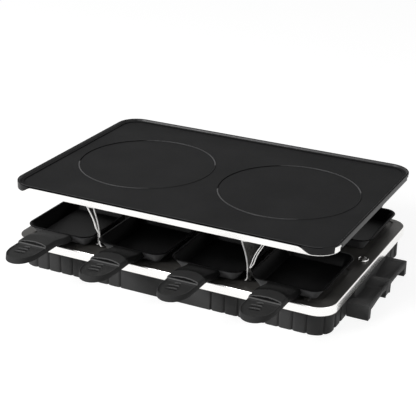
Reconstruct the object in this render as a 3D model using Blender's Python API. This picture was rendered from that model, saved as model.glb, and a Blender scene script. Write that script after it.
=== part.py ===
"""Electric table grill: plate over a heater frame, steel deck, eight pans and a ribbed base.

Metres, +Z up, the front towards -Y. X = Y = 0 is the middle, Z = 0 is under the rubber feet.
"""
import bpy
import bmesh
from math import acos, cos, pi, sin, tan
from mathutils import Vector

# General fits
fit_gap = 0.0003
overrun = 0.002
point_space = 0.0008
smooth_angle = 0.6
round_sides = 16
screw_sides = 10
tube_sides = 6
corner_turns = 4

# Grill plate
plate_front_overhang = 0.0055
plate_corner = 0.031
plate_lip = 0.0029
plate_skirt_wall = 0.0012
plate_slab_drop = 0.0028
plate_shelf = 0.0080
plate_rim_width = 0.0075
plate_rim_rise = 0.0025
plate_rim_round = 0.0012
lobe_drop = 0.0074
side_drop = 0.0056
sweep_end_inset = 0.022
sweep_run = 0.023
side_skirt_inset = 0.0326
lobe_turn_share = 0.70
ring_radius = 0.095
ring_middle_gap = 0.0126
ring_width = 0.0030
ring_depth = 0.0007
ring_sides = 40

# Heater frame
frame_inset = 0.0015
frame_side_tuck = 0.0028
frame_sheet = 0.0012
frame_wall_height = 0.0083
frame_ledge = 0.014
frame_drop = 0.0046
frame_lip_width = 0.009

# Deck tray
tray_end_margin = 0.0101
tray_front_margin = 0.0073
tray_corner = 0.0255
tray_top_z = 0.0444
tray_band = 0.0121
tray_sheet = 0.0012
tray_round = 0.0016
recess_depth = 0.0015
recess_end_margin = 0.0181
recess_edge_margin = 0.0091
recess_mid_margin = 0.031
recess_corner = 0.0080
rail_width = 0.006
rail_offset = 0.027

# Base housing
housing_end_inset = 0.0058
housing_side_inset = 0.0070
housing_corner = 0.0236
housing_wall = 0.003
scallop_corner_gap = 0.0064
scallop_pitch = 0.0183
scallop_count = 7
scallop_depth = 0.0022
end_scallop_corner_gap = 0.0005
end_scallop_pitch = 0.0190
end_scallop_count = 2
cover_sheet = 0.002
cover_margin = 0.001

# Feet and fasteners
foot_radius = 0.009
foot_height = 0.0015
foot_end_margin = 0.0283
foot_side_margin = 0.0271
screw_radius = 0.0015
screw_clearance = 0.0003
head_radius = 0.0029
head_height = 0.0018
deck_screw_length = 0.007

# Side handles
grip_reach = 0.0294
grip_half_length = 0.077
grip_top_z = 0.0209
grip_foot_z = 0.0012
grip_end_leg = 0.0080
grip_mid_leg = 0.0090
grip_mid_foot_z = 0.0026
grip_mid_proud = 0.0012
grip_lip_width = 0.0026
grip_arch_z = 0.0150
grip_arch_foot_z = 0.0120
grip_wall_low_z = 0.0100
grip_web = 0.0018
grip_edge = 0.0012
grip_strip_width = 0.0039
grip_strip_z = 0.0317
grip_strip_foot = 0.0005
strip_share = 0.63
grip_screw_length = 0.012

# Pilot lamp
lamp_end_margin = 0.0141
lamp_y = 0.0025
lamp_body_radius = 0.0052
lamp_body_drop = 0.016
bezel_radius = 0.0072
bezel_height = 0.0018
lens_radius = 0.0040
lens_height = 0.0038
lens_flange = 0.0006

# Pillars
pillar_height = 0.0642
pillar_sheet = 0.0010
pillar_set_back = 0.0166
pillar_tab = 0.0141
pillar_clearance = 0.00175
neck_skew = 0.0017
flare_inner = 0.0019
flare_forward = 0.0162
flare_outer = 0.0218
flare_fold = 0.0014
neck_fold = 0.0004
flare_border = 0.0030
neck_border = 0.0012
flange_root = 0.0012
flange_reach = 0.0120
foot_spread = 0.0045

# Heating element
element_radius = 0.00325
element_bend = 0.014
bend_steps = 4
element_end_margin = 0.0501
element_inner_x = 0.060
element_side_margin = 0.0596
element_inner_y = 0.040
element_pin_x = 0.015
element_pin_margin = 0.0376
strap_x = 0.120
strap_width = 0.012
strap_sheet = 0.0010
insulator_radius = 0.0044
insulator_length = 0.016

# Wiring
conduit_radius = 0.0028
conduit_bore = 0.0022
conduit_proud = 0.0010
lead_radius = 0.0008
lamp_lead_radius = 0.0015
lead_sides = 6
lead_spread = 0.0010
lead_bend = 0.003
block_x = 0.018
block_y = 0.009
block_height = 0.011
block_wall_margin = 0.0421
gland_radius = 0.0065
gland_bore = 0.0036
gland_flange = 0.0090
gland_flange_length = 0.003
gland_z = 0.019
cutout_radius = 0.008
cutout_height = 0.003
cutout_x = 0.060

# Pans and pan handles
pan_count = 4
pan_pitch = 0.110
pan_width = 0.102
pan_inner_y = 0.0217
pan_depth = 0.1251
pan_corner = 0.0175
pan_height = 0.0166
pan_sheet = 0.0012
pan_flange = 0.0018
pan_slope = 0.0100
pan_floor_round = 0.0012
grip_root_width = 0.0464
grip_width = 0.0412
grip_length = 0.1004
grip_root_height = 0.0094
grip_round = 0.0012
grip_low_z = 0.0570
grip_block_z = 0.0668
grip_ledge_z = 0.0657
grip_pad_z = 0.0644
grip_ramp_length = 0.036
grip_block_length = 0.0545
grip_ledge_length = 0.0565
grip_riser_run = 0.0010
grip_bow = 0.0050
grip_tip_length = 0.0292
grip_rim_width = 0.0015
grip_dish_depth = 0.0008
rivet_head = 0.0026
rivet_length = 0.012

# Sizes that follow from the ones above
tray_half_x = pan_pitch * pan_count / 2 + tray_end_margin
tray_half_y = pan_inner_y + pan_depth + tray_front_margin
plate_half_x = tray_half_x
plate_half_y = tray_half_y + plate_front_overhang
housing_half_x = tray_half_x - housing_end_inset
housing_half_y = tray_half_y - housing_side_inset
scallop_first = housing_half_x - housing_corner - scallop_corner_gap - scallop_pitch * scallop_count
end_scallop_first = housing_half_y - housing_corner - end_scallop_corner_gap
end_scallop_first -= end_scallop_pitch * end_scallop_count
ring_offset = ring_radius + ring_middle_gap
foot_x = housing_half_x - foot_end_margin
foot_y = housing_half_y - foot_side_margin
lamp_x = tray_half_x - lamp_end_margin
block_place_y = housing_half_y - block_wall_margin
element_x = plate_half_x - element_end_margin
element_y = plate_half_y - element_side_margin
element_pin_y = plate_half_y - element_pin_margin
pillar_front_y = plate_half_y - frame_inset - frame_ledge - pillar_set_back
housing_top_z = tray_top_z - recess_depth - tray_sheet - fit_gap
frame_low_z = tray_top_z + fit_gap + pillar_height + fit_gap
frame_ledge_z = frame_low_z + frame_drop
frame_top_z = frame_ledge_z + frame_wall_height
lip_z = frame_top_z + fit_gap
crest_z = lip_z + plate_lip
slab_top_z = crest_z - plate_rim_rise
slab_low_z = slab_top_z - plate_slab_drop
pan_low_z = tray_top_z + fit_gap
pan_rim_z = pan_low_z + pan_height
neck_top_z = pan_rim_z + pillar_clearance
neck_half = (pan_pitch - pan_width) / 2 - pillar_clearance
drill_radius = screw_radius + screw_clearance
wall_middle_y = plate_half_y - frame_inset - frame_ledge - frame_lip_width / 2
strap_z = frame_low_z + frame_sheet + fit_gap
element_z = strap_z + strap_sheet + fit_gap + element_radius
pan_columns = [(index - (pan_count - 1) / 2) * pan_pitch for index in range(pan_count)]
pillar_x = pan_pitch
foot_tab_y = pillar_front_y - pillar_tab / 2
cover_z = foot_height + fit_gap
housing_low_z = cover_z + cover_sheet + fit_gap

# Share tables
lobe_shares = (0.0, 0.12, 0.25, 0.4, 0.55, lobe_turn_share, lobe_turn_share + 0.015, 0.85, 1.0)
sweep_shares = (0.0, 0.18, 0.36, 0.54, 0.72, 0.9)
scallop_shares = (0.0, 0.3, 0.7)
flare_shares = ((0.0, 0.0, 0.0), (0.16, 0.08, 0.21), (0.29, 0.18, 0.28), (0.43, 0.30, 0.38))
flare_shares += ((0.57, 0.46, 0.52), (0.71, 0.64, 0.69), (0.85, 0.83, 0.85), (1.0, 1.0, 1.0))
tip_shares = ((0.0, 1.0, 1.0), (0.3, 0.94, 1.0), (0.52, 0.84, 1.0), (0.75, 0.7, 1.0), (0.88, 0.5, 0.96))
tip_shares += ((0.96, 0.29, 0.6), (1.0, 0.12, 0.3))
trough_shares = ((0.0, 0.75), (0.15, 0.95), (0.4, 1.0), (strip_share, 0.93), (strip_share + 0.015, 0.92))
trough_shares += ((0.8, 0.75), (0.9, 0.5), (1.0, 0.15))
dome_shares = ((1.0, 0.0), (0.92, 0.40), (0.70, 0.75), (0.38, 0.95))


# Helpers for outlines
def quadrant(half_x, half_y, corner, front_marks, side_marks, turn_shares):
    """Edge points (x, y, normal x, normal y) from the middle of the front to the middle of the right."""
    points = [(x, -half_y, 0.0, -1.0) for x in front_marks if x < half_x - corner - point_space]
    for share in turn_shares:
        turn = pi / 2 * (share - 1)
        x = half_x - corner + corner * cos(turn)
        y = -half_y + corner + corner * sin(turn)
        points.append((x, y, cos(turn), sin(turn)))
    points += [(half_x, y, 1.0, 0.0) for y in side_marks if y > -half_y + corner + point_space]
    return points


def whole_loop(quarter):
    """The quarter mirrored to all four sides, without doubled points."""
    right = quarter + [(x, -y, nx, -ny) for x, y, nx, ny in reversed(quarter)]
    left = [(-x, y, -nx, ny) for x, y, nx, ny in reversed(right)]
    loop = []
    for point in right + left:
        if not loop or abs(point[0] - loop[-1][0]) + abs(point[1] - loop[-1][1]) > point_space / 8:
            loop.append(point)
    if abs(loop[0][0] - loop[-1][0]) + abs(loop[0][1] - loop[-1][1]) < point_space / 8:
        loop.pop()
    return loop


def rounded(half_x, half_y, corner, turns=corner_turns):
    """Plain rounded rectangle."""
    shares = [step / turns for step in range(turns + 1)]
    return whole_loop(quadrant(half_x, half_y, corner, [], [], shares))


def ring(loop, inset, z):
    """The loop moved inwards by inset, at height z."""
    return [Vector((x - nx * inset, y - ny * inset, z)) for x, y, nx, ny in loop]


def circle(centre_x, centre_y, radius, z, sides):
    """Round ring of points."""
    turns = [2 * pi * step / sides for step in range(sides)]
    return [Vector((centre_x + radius * cos(turn), centre_y + radius * sin(turn), z)) for turn in turns]


def smooth_step(share):
    """Soft ramp from 0 to 1."""
    held = min(max(share, 0.0), 1.0)
    return held * held * (3 - 2 * held)


def mix(first, second, share):
    """Value between first and second."""
    return first + (second - first) * share


# Helpers for solids: a shell is (points, faces)
def loft(rings, joined=False):
    """Skin through rings with equal numbers of points; capped at both ends unless joined end to end."""
    count = len(rings[0])
    points = [point for row in rings for point in row]
    faces = []
    last = len(rings) if joined else len(rings) - 1
    for row in range(last):
        below = row * count
        above = ((row + 1) % len(rings)) * count
        for step in range(count):
            after = (step + 1) % count
            faces.append((below + step, below + after, above + after, above + step))
    if not joined:
        faces.append(tuple(reversed(range(count))))
        top = (len(rings) - 1) * count
        faces.append(tuple(range(top, top + count)))
    return points, faces


def revolved(centre_x, centre_y, profile, sides):
    """Solid of round rings; profile is a list of (radius, z)."""
    return loft([circle(centre_x, centre_y, radius, z, sides) for radius, z in profile])


def hollow_round(centre_x, centre_y, profile, sides):
    """Round solid with a bore, from a closed profile of (radius, z)."""
    return loft([circle(centre_x, centre_y, radius, z, sides) for radius, z in profile], joined=True)


def box(low, high):
    """Plain block between two corners."""
    x0, y0, z0 = low
    x1, y1, z1 = high
    foot = [Vector((x0, y0, z0)), Vector((x1, y0, z0)), Vector((x1, y1, z0)), Vector((x0, y1, z0))]
    head = [Vector((point.x, point.y, z1)) for point in foot]
    return loft([foot, head])


def changed(shell, change):
    """The shell with each point passed through a function."""
    points, faces = shell
    return [change(point) for point in points], faces


def mirrored_x(shell):
    """Mirror image across X = 0."""
    return changed(shell, lambda point: Vector((-point.x, point.y, point.z)))


def mirrored_y(shell):
    """Mirror image across Y = 0."""
    return changed(shell, lambda point: Vector((point.x, -point.y, point.z)))


def moved(shell, x, y, z):
    """The shell shifted."""
    return changed(shell, lambda point: point + Vector((x, y, z)))


def laid_along_y(shell, sign):
    """A shell that stands on Z = 0 turned to point along sign * Y."""
    return changed(shell, lambda point: Vector((point.x, sign * point.z, point.y)))


def laid_along_x(shell, sign):
    """A shell that stands on Z = 0 turned to point along sign * X."""
    return changed(shell, lambda point: Vector((sign * point.z, point.y, point.x)))


def bent_path(corners, bend, steps):
    """Polyline with each inner corner replaced by an arc of radius bend."""
    path = [corners[0]]
    for before, corner, after in zip(corners, corners[1:], corners[2:]):
        to_before = (before - corner).normalized()
        to_after = (after - corner).normalized()
        angle = acos(max(-1.0, min(1.0, to_before.dot(to_after))))
        reach = bend / tan(angle / 2)
        middle = corner + (to_before + to_after).normalized() * (bend / sin(angle / 2))
        start = corner + to_before * reach - middle
        end = corner + to_after * reach - middle
        sweep = acos(max(-1.0, min(1.0, start.dot(end) / (bend * bend))))
        for step in range(steps + 1):
            share = step / steps
            weight = sin(sweep * (1 - share)) / sin(sweep)
            other = sin(sweep * share) / sin(sweep)
            path.append(middle + start * weight + end * other)
    path.append(corners[-1])
    return path


def tube(path, radius, sides):
    """Round bar along a path."""
    rings = []
    side = None
    for index, point in enumerate(path):
        before = path[max(index - 1, 0)]
        after = path[min(index + 1, len(path) - 1)]
        along = (after - before).normalized()
        if side is None:
            side = along.orthogonal().normalized()
        side = (side - along * side.dot(along)).normalized()
        cross = along.cross(side)
        turns = [2 * pi * step / sides for step in range(sides)]
        rings.append([point + side * (radius * cos(turn)) + cross * (radius * sin(turn)) for turn in turns])
    return loft(rings)


# Helpers for objects
def clear_scene():
    """Remove whatever the file starts with."""
    for item in list(bpy.data.objects):
        bpy.data.objects.remove(item, do_unlink=True)


def material(name, colour, roughness, metallic):
    """Plain surface material."""
    made = bpy.data.materials.get(name)
    if made is None:
        made = bpy.data.materials.new(name)
        made.use_nodes = True
        shader = made.node_tree.nodes["Principled BSDF"]
        shader.inputs["Base Color"].default_value = (*colour, 1.0)
        shader.inputs["Roughness"].default_value = roughness
        shader.inputs["Metallic"].default_value = metallic
    return made


def brushed_steel():
    """Warm grey brushed sheet."""
    return material("brushed_steel", (0.56, 0.55, 0.53), 0.32, 1.0)


def polished_steel():
    """Bright sheet of the frame and pillars."""
    return material("polished_steel", (0.75, 0.75, 0.74), 0.15, 1.0)


def black_plastic():
    """Moulded heat-proof plastic."""
    return material("black_plastic", (0.022, 0.022, 0.023), 0.45, 0.0)


def nonstick():
    """Dark non-stick coat."""
    return material("nonstick_coat", (0.020, 0.020, 0.021), 0.50, 0.0)


def plain_rubber():
    """Feet and grommets."""
    return material("black_rubber", (0.015, 0.015, 0.015), 0.80, 0.0)


def zinc_plate():
    """Screws and rivets."""
    return material("zinc_screws", (0.62, 0.62, 0.60), 0.35, 1.0)


def element_sheath():
    """Heat-darkened tube of the element."""
    return material("element_sheath", (0.16, 0.15, 0.14), 0.50, 1.0)


def pale_ceramic():
    """Insulators."""
    return material("pale_ceramic", (0.80, 0.78, 0.72), 0.40, 0.0)


def lead_sleeve():
    """Sleeve of the leads."""
    return material("lead_sleeve", (0.62, 0.60, 0.56), 0.60, 0.0)


def lens_clear():
    """Clear moulded dome."""
    return material("lamp_lens", (0.80, 0.78, 0.74), 0.10, 0.0)


def make(name, shell, surface):
    """One mesh object with outward normals and smooth rounds."""
    points, faces = shell
    mesh = bpy.data.meshes.new(name)
    mesh.from_pydata(points, [], faces)
    work = bmesh.new()
    work.from_mesh(mesh)
    bmesh.ops.recalc_face_normals(work, faces=work.faces)
    work.to_mesh(mesh)
    work.free()
    mesh.shade_smooth()
    mesh.set_sharp_from_angle(angle=smooth_angle)
    if surface is not None:
        mesh.materials.append(surface)
    made = bpy.data.objects.new(name, mesh)
    bpy.context.scene.collection.objects.link(made)
    return made


def make_cutter(name, shells):
    """Tool body that only cuts, made of one or more closed shells."""
    points = []
    faces = []
    for shell_points, shell_faces in shells:
        start = len(points)
        points += shell_points
        faces += [tuple(start + index for index in face) for face in shell_faces]
    cutter = make(name, (points, faces), None)
    cutter.hide_render = True
    cutter.display_type = 'WIRE'
    return cutter


def combine(target, cutter, operation):
    """Exact Boolean kept as a modifier."""
    step = target.modifiers.new(operation.lower() + "_" + cutter.name, 'BOOLEAN')
    step.operation = operation
    step.solver = 'EXACT'
    step.object = cutter


# Grill plate and heater frame share one outline
def plate_loop():
    """Plate outline with points where the skirt changes."""
    sweep_start = plate_half_x - sweep_end_inset - sweep_run
    front = [0.0] + [sweep_start + sweep_run * share for share in sweep_shares]
    skirt_start = -(plate_half_y - side_skirt_inset)
    side = [skirt_start, skirt_start + point_space, skirt_start + point_space * 4, 0.0]
    return whole_loop(quadrant(plate_half_x, plate_half_y, plate_corner, front, side, lobe_shares))


def lobe_share(x, y, normal_x):
    """How far the corner lobe hangs at this point of the outline, 0 to 1."""
    lobe_end = cos(pi / 2 * (1 - lobe_turn_share)) + point_space
    if normal_x > lobe_end or normal_x < -lobe_end:
        return 0.0
    sweep_start = plate_half_x - sweep_end_inset - sweep_run
    return smooth_step((abs(x) - sweep_start) / sweep_run)


def side_share(y):
    """How far the side skirt hangs at this point, 0 to 1."""
    skirt_end = plate_half_y - side_skirt_inset
    return min(max((skirt_end - abs(y)) / point_space, 0.0), 1.0)


def skirt_ring(loop, inset):
    """Lower edge of the skirt."""
    row = []
    for x, y, nx, ny in loop:
        drop = lobe_drop * lobe_share(x, y, nx)
        if abs(nx) > 0.999:
            drop = side_drop * side_share(y)
        row.append(Vector((x - nx * inset, y - ny * inset, lip_z - drop)))
    return row


def build_top_plate():
    """Non-stick grill plate with two ring grooves."""
    loop = plate_loop()
    shelf_z = lip_z + fit_gap
    rings = [
        ring(loop, plate_shelf, slab_low_z),
        ring(loop, plate_shelf, shelf_z),
        ring(loop, plate_skirt_wall, shelf_z),
        skirt_ring(loop, plate_skirt_wall),
        skirt_ring(loop, 0.0),
        ring(loop, 0.0, crest_z - plate_rim_round),
        ring(loop, plate_rim_round / 3, crest_z - plate_rim_round / 3),
        ring(loop, plate_rim_round, crest_z),
        ring(loop, plate_rim_width - plate_rim_round, crest_z - plate_rim_round / 3),
        ring(loop, plate_rim_width, slab_top_z),
    ]
    plate = make("top_plate", loft(rings), nonstick())
    low_z = slab_top_z - ring_depth
    high_z = slab_top_z + overrun
    profile = [
        (ring_radius - ring_width / 4, low_z),
        (ring_radius + ring_width / 4, low_z),
        (ring_radius + ring_width, high_z),
        (ring_radius - ring_width, high_z),
    ]
    grooves = [hollow_round(side * ring_offset, 0.0, profile, ring_sides) for side in (-1, 1)]
    combine(plate, make_cutter("ring_cutter", grooves), 'DIFFERENCE')


def frame_ring(loop, inset, z):
    """Frame outline at height z; tucked in behind the side skirts."""
    row = []
    for x, y, nx, ny in loop:
        tuck = frame_inset + inset
        if abs(nx) > 0.999:
            tuck += frame_side_tuck * side_share_tuck(y)
        row.append(Vector((x - nx * tuck, y - ny * tuck, z)))
    return row


def side_share_tuck(y):
    """How far the frame steps in along the sides, 0 to 1."""
    skirt_end = plate_half_y - side_skirt_inset + point_space
    return smooth_step((skirt_end - abs(y)) / point_space)


def build_heater_frame(drill):
    """Bright steel ring that carries the plate and the element."""
    loop = plate_loop()
    sheet = frame_sheet
    rings = [
        frame_ring(loop, 0.0, frame_ledge_z),
        frame_ring(loop, 0.0, frame_top_z),
        frame_ring(loop, sheet, frame_top_z),
        frame_ring(loop, sheet, frame_ledge_z + sheet),
        frame_ring(loop, frame_ledge, frame_ledge_z + sheet),
        frame_ring(loop, frame_ledge, frame_low_z + sheet),
        frame_ring(loop, frame_ledge + frame_lip_width, frame_low_z + sheet),
        frame_ring(loop, frame_ledge + frame_lip_width, frame_low_z),
        frame_ring(loop, frame_ledge - sheet, frame_low_z),
        frame_ring(loop, frame_ledge - sheet, frame_ledge_z),
    ]
    frame = make("heater_frame", loft(rings, joined=True), polished_steel())
    combine(frame, drill, 'DIFFERENCE')


# Base, deck and side handles
def scallop_points(first, pitch, count):
    """Positions along an edge and how deep the outline lies there, 0 to 1."""
    marks = []
    for index in range(count):
        for share in scallop_shares:
            marks.append((first + pitch * (index + share), (2 * share - 1) ** 2))
    marks.append((first + pitch * count, 1.0))
    return marks


def housing_loops():
    """Ribbed outer loop and the plain inner loop with the same number of points."""
    front = scallop_points(scallop_first, scallop_pitch, scallop_count)
    side = scallop_points(end_scallop_first, end_scallop_pitch, end_scallop_count)
    front_marks = [0.0, scallop_first - point_space * 2] + [x for x, depth in front]
    front_marks += [front[-1][0] + point_space * 2]
    side_ends = [-side[-1][0] - point_space * 2, -end_scallop_first + point_space * 2]
    side_marks = side_ends[:1] + [-y for y, depth in reversed(side)] + side_ends[1:]
    shares = [step / corner_turns for step in range(corner_turns + 1)]
    quarter = quadrant(housing_half_x, housing_half_y, housing_corner, front_marks, side_marks, shares)
    depths = dict()
    for x, depth in front:
        depths[('x', round(x / point_space * 8))] = depth
    for y, depth in side:
        depths[('y', round(y / point_space * 8))] = depth
    plain = whole_loop(quarter)
    ribbed = []
    for x, y, nx, ny in plain:
        key = ('x', round(abs(x) / point_space * 8))
        if abs(nx) > 0.999:
            key = ('y', round(abs(y) / point_space * 8))
        inset = scallop_depth * depths.get(key, 0.0) if abs(nx) > 0.999 or abs(ny) > 0.999 else 0.0
        ribbed.append((x - nx * inset, y - ny * inset, nx, ny))
    return ribbed, plain


def build_base_housing(drill, side_drill):
    """Ribbed plastic base with a closed top."""
    ribbed, plain = housing_loops()
    wall = scallop_depth + housing_wall
    rings = [
        ring(plain, wall, housing_top_z - housing_wall),
        ring(plain, wall, housing_low_z),
        ring(ribbed, 0.0, housing_low_z),
        ring(ribbed, 0.0, housing_top_z - overrun),
        ring(plain, scallop_depth, housing_top_z),
    ]
    housing = make("base_housing", loft(rings), black_plastic())
    combine(housing, drill, 'DIFFERENCE')
    combine(housing, side_drill, 'DIFFERENCE')


def build_bottom_cover():
    """Flat cover under the housing wall."""
    margin = scallop_depth + cover_margin
    loop = rounded(housing_half_x, housing_half_y, housing_corner)
    rings = [ring(loop, margin, cover_z), ring(loop, margin, cover_z + cover_sheet)]
    make("bottom_cover", loft(rings), black_plastic())


def build_feet():
    """Four stick-on rubber feet."""
    profile = [
        (foot_radius - foot_radius / 8, 0.0),
        (foot_radius, foot_radius / 16),
        (foot_radius, foot_height),
    ]
    for depth_side, row in ((-1, "front"), (1, "rear")):
        for side, word in ((-1, "left"), (1, "right")):
            foot = revolved(side * foot_x, depth_side * foot_y, profile, round_sides)
            make("rubber_foot_" + row + "_" + word, foot, plain_rubber())


def build_deck_tray(drill):
    """Steel deck with rolled-down edge and pressed fields between the pan rails."""
    loop = rounded(tray_half_x, tray_half_y, tray_corner, corner_turns + 1)
    low_z = tray_top_z - tray_band
    under_z = tray_top_z - recess_depth - tray_sheet
    rings = [
        ring(loop, tray_sheet, under_z),
        ring(loop, tray_sheet, low_z),
        ring(loop, 0.0, low_z),
        ring(loop, 0.0, tray_top_z - tray_round),
        ring(loop, tray_round * 0.3, tray_top_z - tray_round * 0.3),
        ring(loop, tray_round, tray_top_z),
    ]
    tray = make("deck_tray", loft(rings), brushed_steel())
    rails = sorted(column + side * rail_offset for column in pan_columns for side in (-1, 1))
    edges = [-tray_half_x + recess_end_margin]
    for rail in rails:
        edges += [rail - rail_width / 2, rail + rail_width / 2]
    edges.append(tray_half_x - recess_end_margin)
    fields = []
    floor_z = tray_top_z - recess_depth
    for left, right in zip(edges[0::2], edges[1::2]):
        for side in (-1, 1):
            near = recess_mid_margin
            far = tray_half_y - recess_edge_margin
            centre_y = side * (near + far) / 2
            corner = recess_corner if left == edges[0] or right == edges[-1] else rail_width / 2
            field = rounded((right - left) / 2, (far - near) / 2, corner, 3)
            slope = recess_depth / 2
            rows = [ring(field, slope, floor_z), ring(field, 0.0, tray_top_z)]
            rows.append(ring(field, 0.0, tray_top_z + overrun))
            fields.append(moved(loft(rows), (left + right) / 2, centre_y, 0.0))
    combine(tray, make_cutter("field_cutter", fields), 'DIFFERENCE')
    combine(tray, drill, 'DIFFERENCE')


def grip_section(y, low_z, wall_low_z, floor_z, wall_floor_z, strip_z, proud):
    """Cross-section of the side handle at Y: lip outside, trough falling inwards, strip on the housing."""
    x0 = housing_half_x + fit_gap
    x1 = x0 + grip_reach + proud
    lip_x = x1 - grip_lip_width
    strip_x = x0 + grip_strip_width
    edge = grip_edge
    top_z = grip_top_z + proud
    return [
        Vector((x0, y, wall_low_z)),
        Vector((x1 - edge, y, low_z)),
        Vector((x1, y, low_z + edge)),
        Vector((x1, y, top_z - edge)),
        Vector((x1 - edge, y, top_z)),
        Vector((lip_x, y, top_z)),
        Vector((lip_x - edge, y, mix(top_z, floor_z, 0.7))),
        Vector((lip_x - edge * 4, y, floor_z)),
        Vector((strip_x, y, wall_floor_z)),
        Vector((strip_x, y, strip_z)),
        Vector((x0, y, strip_z)),
    ]


def grip_stations():
    """Sections along half of the side handle, from its middle block to its end leg."""
    foot_z = grip_mid_foot_z
    crown_z = grip_top_z + grip_mid_proud
    sections = []
    for y in (0.0, grip_mid_leg):
        sections.append((y, foot_z, foot_z, crown_z, crown_z, grip_strip_z, grip_mid_proud))
    start = grip_mid_leg + point_space
    end = grip_half_length - grip_end_leg - point_space
    for share, rise in trough_shares:
        low_z = mix(grip_arch_foot_z, grip_arch_z, rise)
        floor_z = mix(grip_top_z, low_z + grip_web, rise)
        wall_floor_z = mix(grip_top_z, grip_wall_low_z + grip_web, rise)
        strip_z = grip_strip_z if share <= strip_share else wall_floor_z + grip_strip_foot
        y = mix(start, end, share)
        sections.append((y, low_z, grip_wall_low_z, floor_z, wall_floor_z, strip_z, 0.0))
    foot_z = grip_foot_z
    strip_z = grip_top_z + grip_strip_foot
    for y in (grip_half_length - grip_end_leg, grip_half_length):
        sections.append((y, foot_z, foot_z, grip_top_z, grip_top_z, strip_z, 0.0))
    return sections


def build_side_handle(name, side, side_drill):
    """Finger handle on a short side of the base."""
    half = grip_stations()
    stations = [(-section[0], *section[1:]) for section in reversed(half[1:])] + half
    shell = loft([grip_section(*section) for section in stations])
    if side < 0:
        shell = mirrored_x(shell)
    handle = make(name, shell, black_plastic())
    combine(handle, side_drill, 'DIFFERENCE')


# Pilot lamp
def build_lamp():
    """Bezel, clear dome and the holder below the deck."""
    seat_z = tray_top_z + fit_gap
    inner = lamp_body_radius + fit_gap
    bezel = [
        (inner, seat_z),
        (bezel_radius, seat_z),
        (bezel_radius, seat_z + bezel_height / 2),
        (bezel_radius - bezel_height / 2, seat_z + bezel_height),
        (inner, seat_z + bezel_height),
    ]
    make("pilot_lamp_bezel", hollow_round(lamp_x, lamp_y, bezel, round_sides), polished_steel())
    body_top_z = seat_z
    body = [(lamp_body_radius, body_top_z - lamp_body_drop), (lamp_body_radius, body_top_z)]
    make("pilot_lamp_holder", revolved(lamp_x, lamp_y, body, round_sides), black_plastic())
    lens_z = body_top_z + fit_gap
    dome_z = lens_z + lens_flange
    dome = [(lamp_body_radius - fit_gap, lens_z), (lamp_body_radius - fit_gap, dome_z)]
    dome += [(lens_radius * wide, dome_z + lens_height * high) for wide, high in dome_shares]
    make("pilot_lamp_lens", revolved(lamp_x, lamp_y, dome, round_sides), lens_clear())


# Pillars
def pillar_row(inner, outer, hem, fold, raised):
    """Eight points across the sheet: the front side from the inner to the outer edge, then the back."""
    along = (outer - inner).normalized()
    ahead = Vector((along.y, -along.x, 0.0))
    fronts = [inner + ahead * fold, inner + along * hem, outer - along * hem, outer + ahead * fold]
    step = ahead * -pillar_sheet + Vector((0.0, 0.0, raised))
    return fronts + [point + step for point in reversed(fronts)]


def tab_row(y, z, half_width):
    """Eight points across the foot tab, which lies level."""
    marks = (-half_width, -half_width / 2, half_width / 2, half_width)
    fronts = [Vector((pillar_x + mark, y, z)) for mark in marks]
    return fronts + [point + Vector((0.0, 0.0, pillar_sheet)) for point in reversed(fronts)]


def flange_row(inner, outer):
    """End of the level flange that stands ahead of the web and widens outwards."""
    along = outer - inner
    ahead = Vector((along.y, -along.x, 0.0)).normalized()
    hem = flare_border / along.length
    fronts = []
    for share in (0.0, hem, 1 - hem, 1.0):
        reach = flare_fold + mix(flange_root, flange_reach, share)
        fronts.append(inner + along * share + ahead * reach)
    return fronts + [point + Vector((0.0, 0.0, pillar_sheet)) for point in reversed(fronts)]


def pillar_shell():
    """Front right pillar: foot tab, narrow neck, slanting flared web and top flange in one sheet."""
    foot_z = tray_top_z + fit_gap
    head_z = frame_low_z - fit_gap
    sheet = pillar_sheet
    web_y = -pillar_front_y
    tab_half = neck_half + foot_spread
    rings = [
        tab_row(web_y + pillar_tab, foot_z, tab_half),
        tab_row(web_y + neck_skew + sheet * 2, foot_z, tab_half),
    ]
    for lift, spread in ((sheet, 0.6), (sheet * 3, 0.1)):
        half = neck_half + foot_spread * spread
        inner = Vector((pillar_x - half, web_y - neck_skew, foot_z + lift))
        outer = Vector((pillar_x + half, web_y + neck_skew, foot_z + lift))
        rings.append(pillar_row(inner, outer, neck_border, neck_fold, sheet / 4))
    top_z = head_z - sheet * 2
    for height, inner_share, outer_share in flare_shares:
        z = mix(neck_top_z, top_z, height)
        inner_x = pillar_x - neck_half - flare_inner * inner_share
        outer_x = pillar_x + neck_half + flare_outer * outer_share
        inner = Vector((inner_x, web_y - neck_skew - flare_forward * inner_share, z))
        outer = Vector((outer_x, web_y + neck_skew, z))
        hem = mix(neck_border, flare_border, outer_share)
        rings.append(pillar_row(inner, outer, hem, mix(neck_fold, flare_fold, outer_share), 0.0))
    inner.z = outer.z = head_z - sheet
    rings.append(pillar_row(inner, outer, flare_border, flare_fold, sheet))
    rings.append(flange_row(inner, outer))
    return loft(rings)


def build_pillars(drill):
    """Two front and two rear pillars, mirror images."""
    right = pillar_shell()
    left = mirrored_x(right)
    parts = {
        "pillar_front_right": right,
        "pillar_front_left": left,
        "pillar_rear_right": mirrored_y(right),
        "pillar_rear_left": mirrored_y(left),
    }
    for name, shell in parts.items():
        combine(make(name, shell, polished_steel()), drill, 'DIFFERENCE')


# Fasteners and the drills that make room for them
def screw(x, y, head_z, length):
    """Pan-head screw at (x, y) whose head sits on head_z, its shank pointing down."""
    profile = [
        (screw_radius, head_z - length),
        (screw_radius, head_z),
        (head_radius, head_z),
        (head_radius, head_z + head_height / 2),
        (head_radius / 2, head_z + head_height),
    ]
    return revolved(x, y, profile, screw_sides)


def pillar_spots(y):
    """The four pillar positions at +/- y."""
    return [(x, side * y) for x in (-pillar_x, pillar_x) for side in (-1, 1)]


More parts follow.
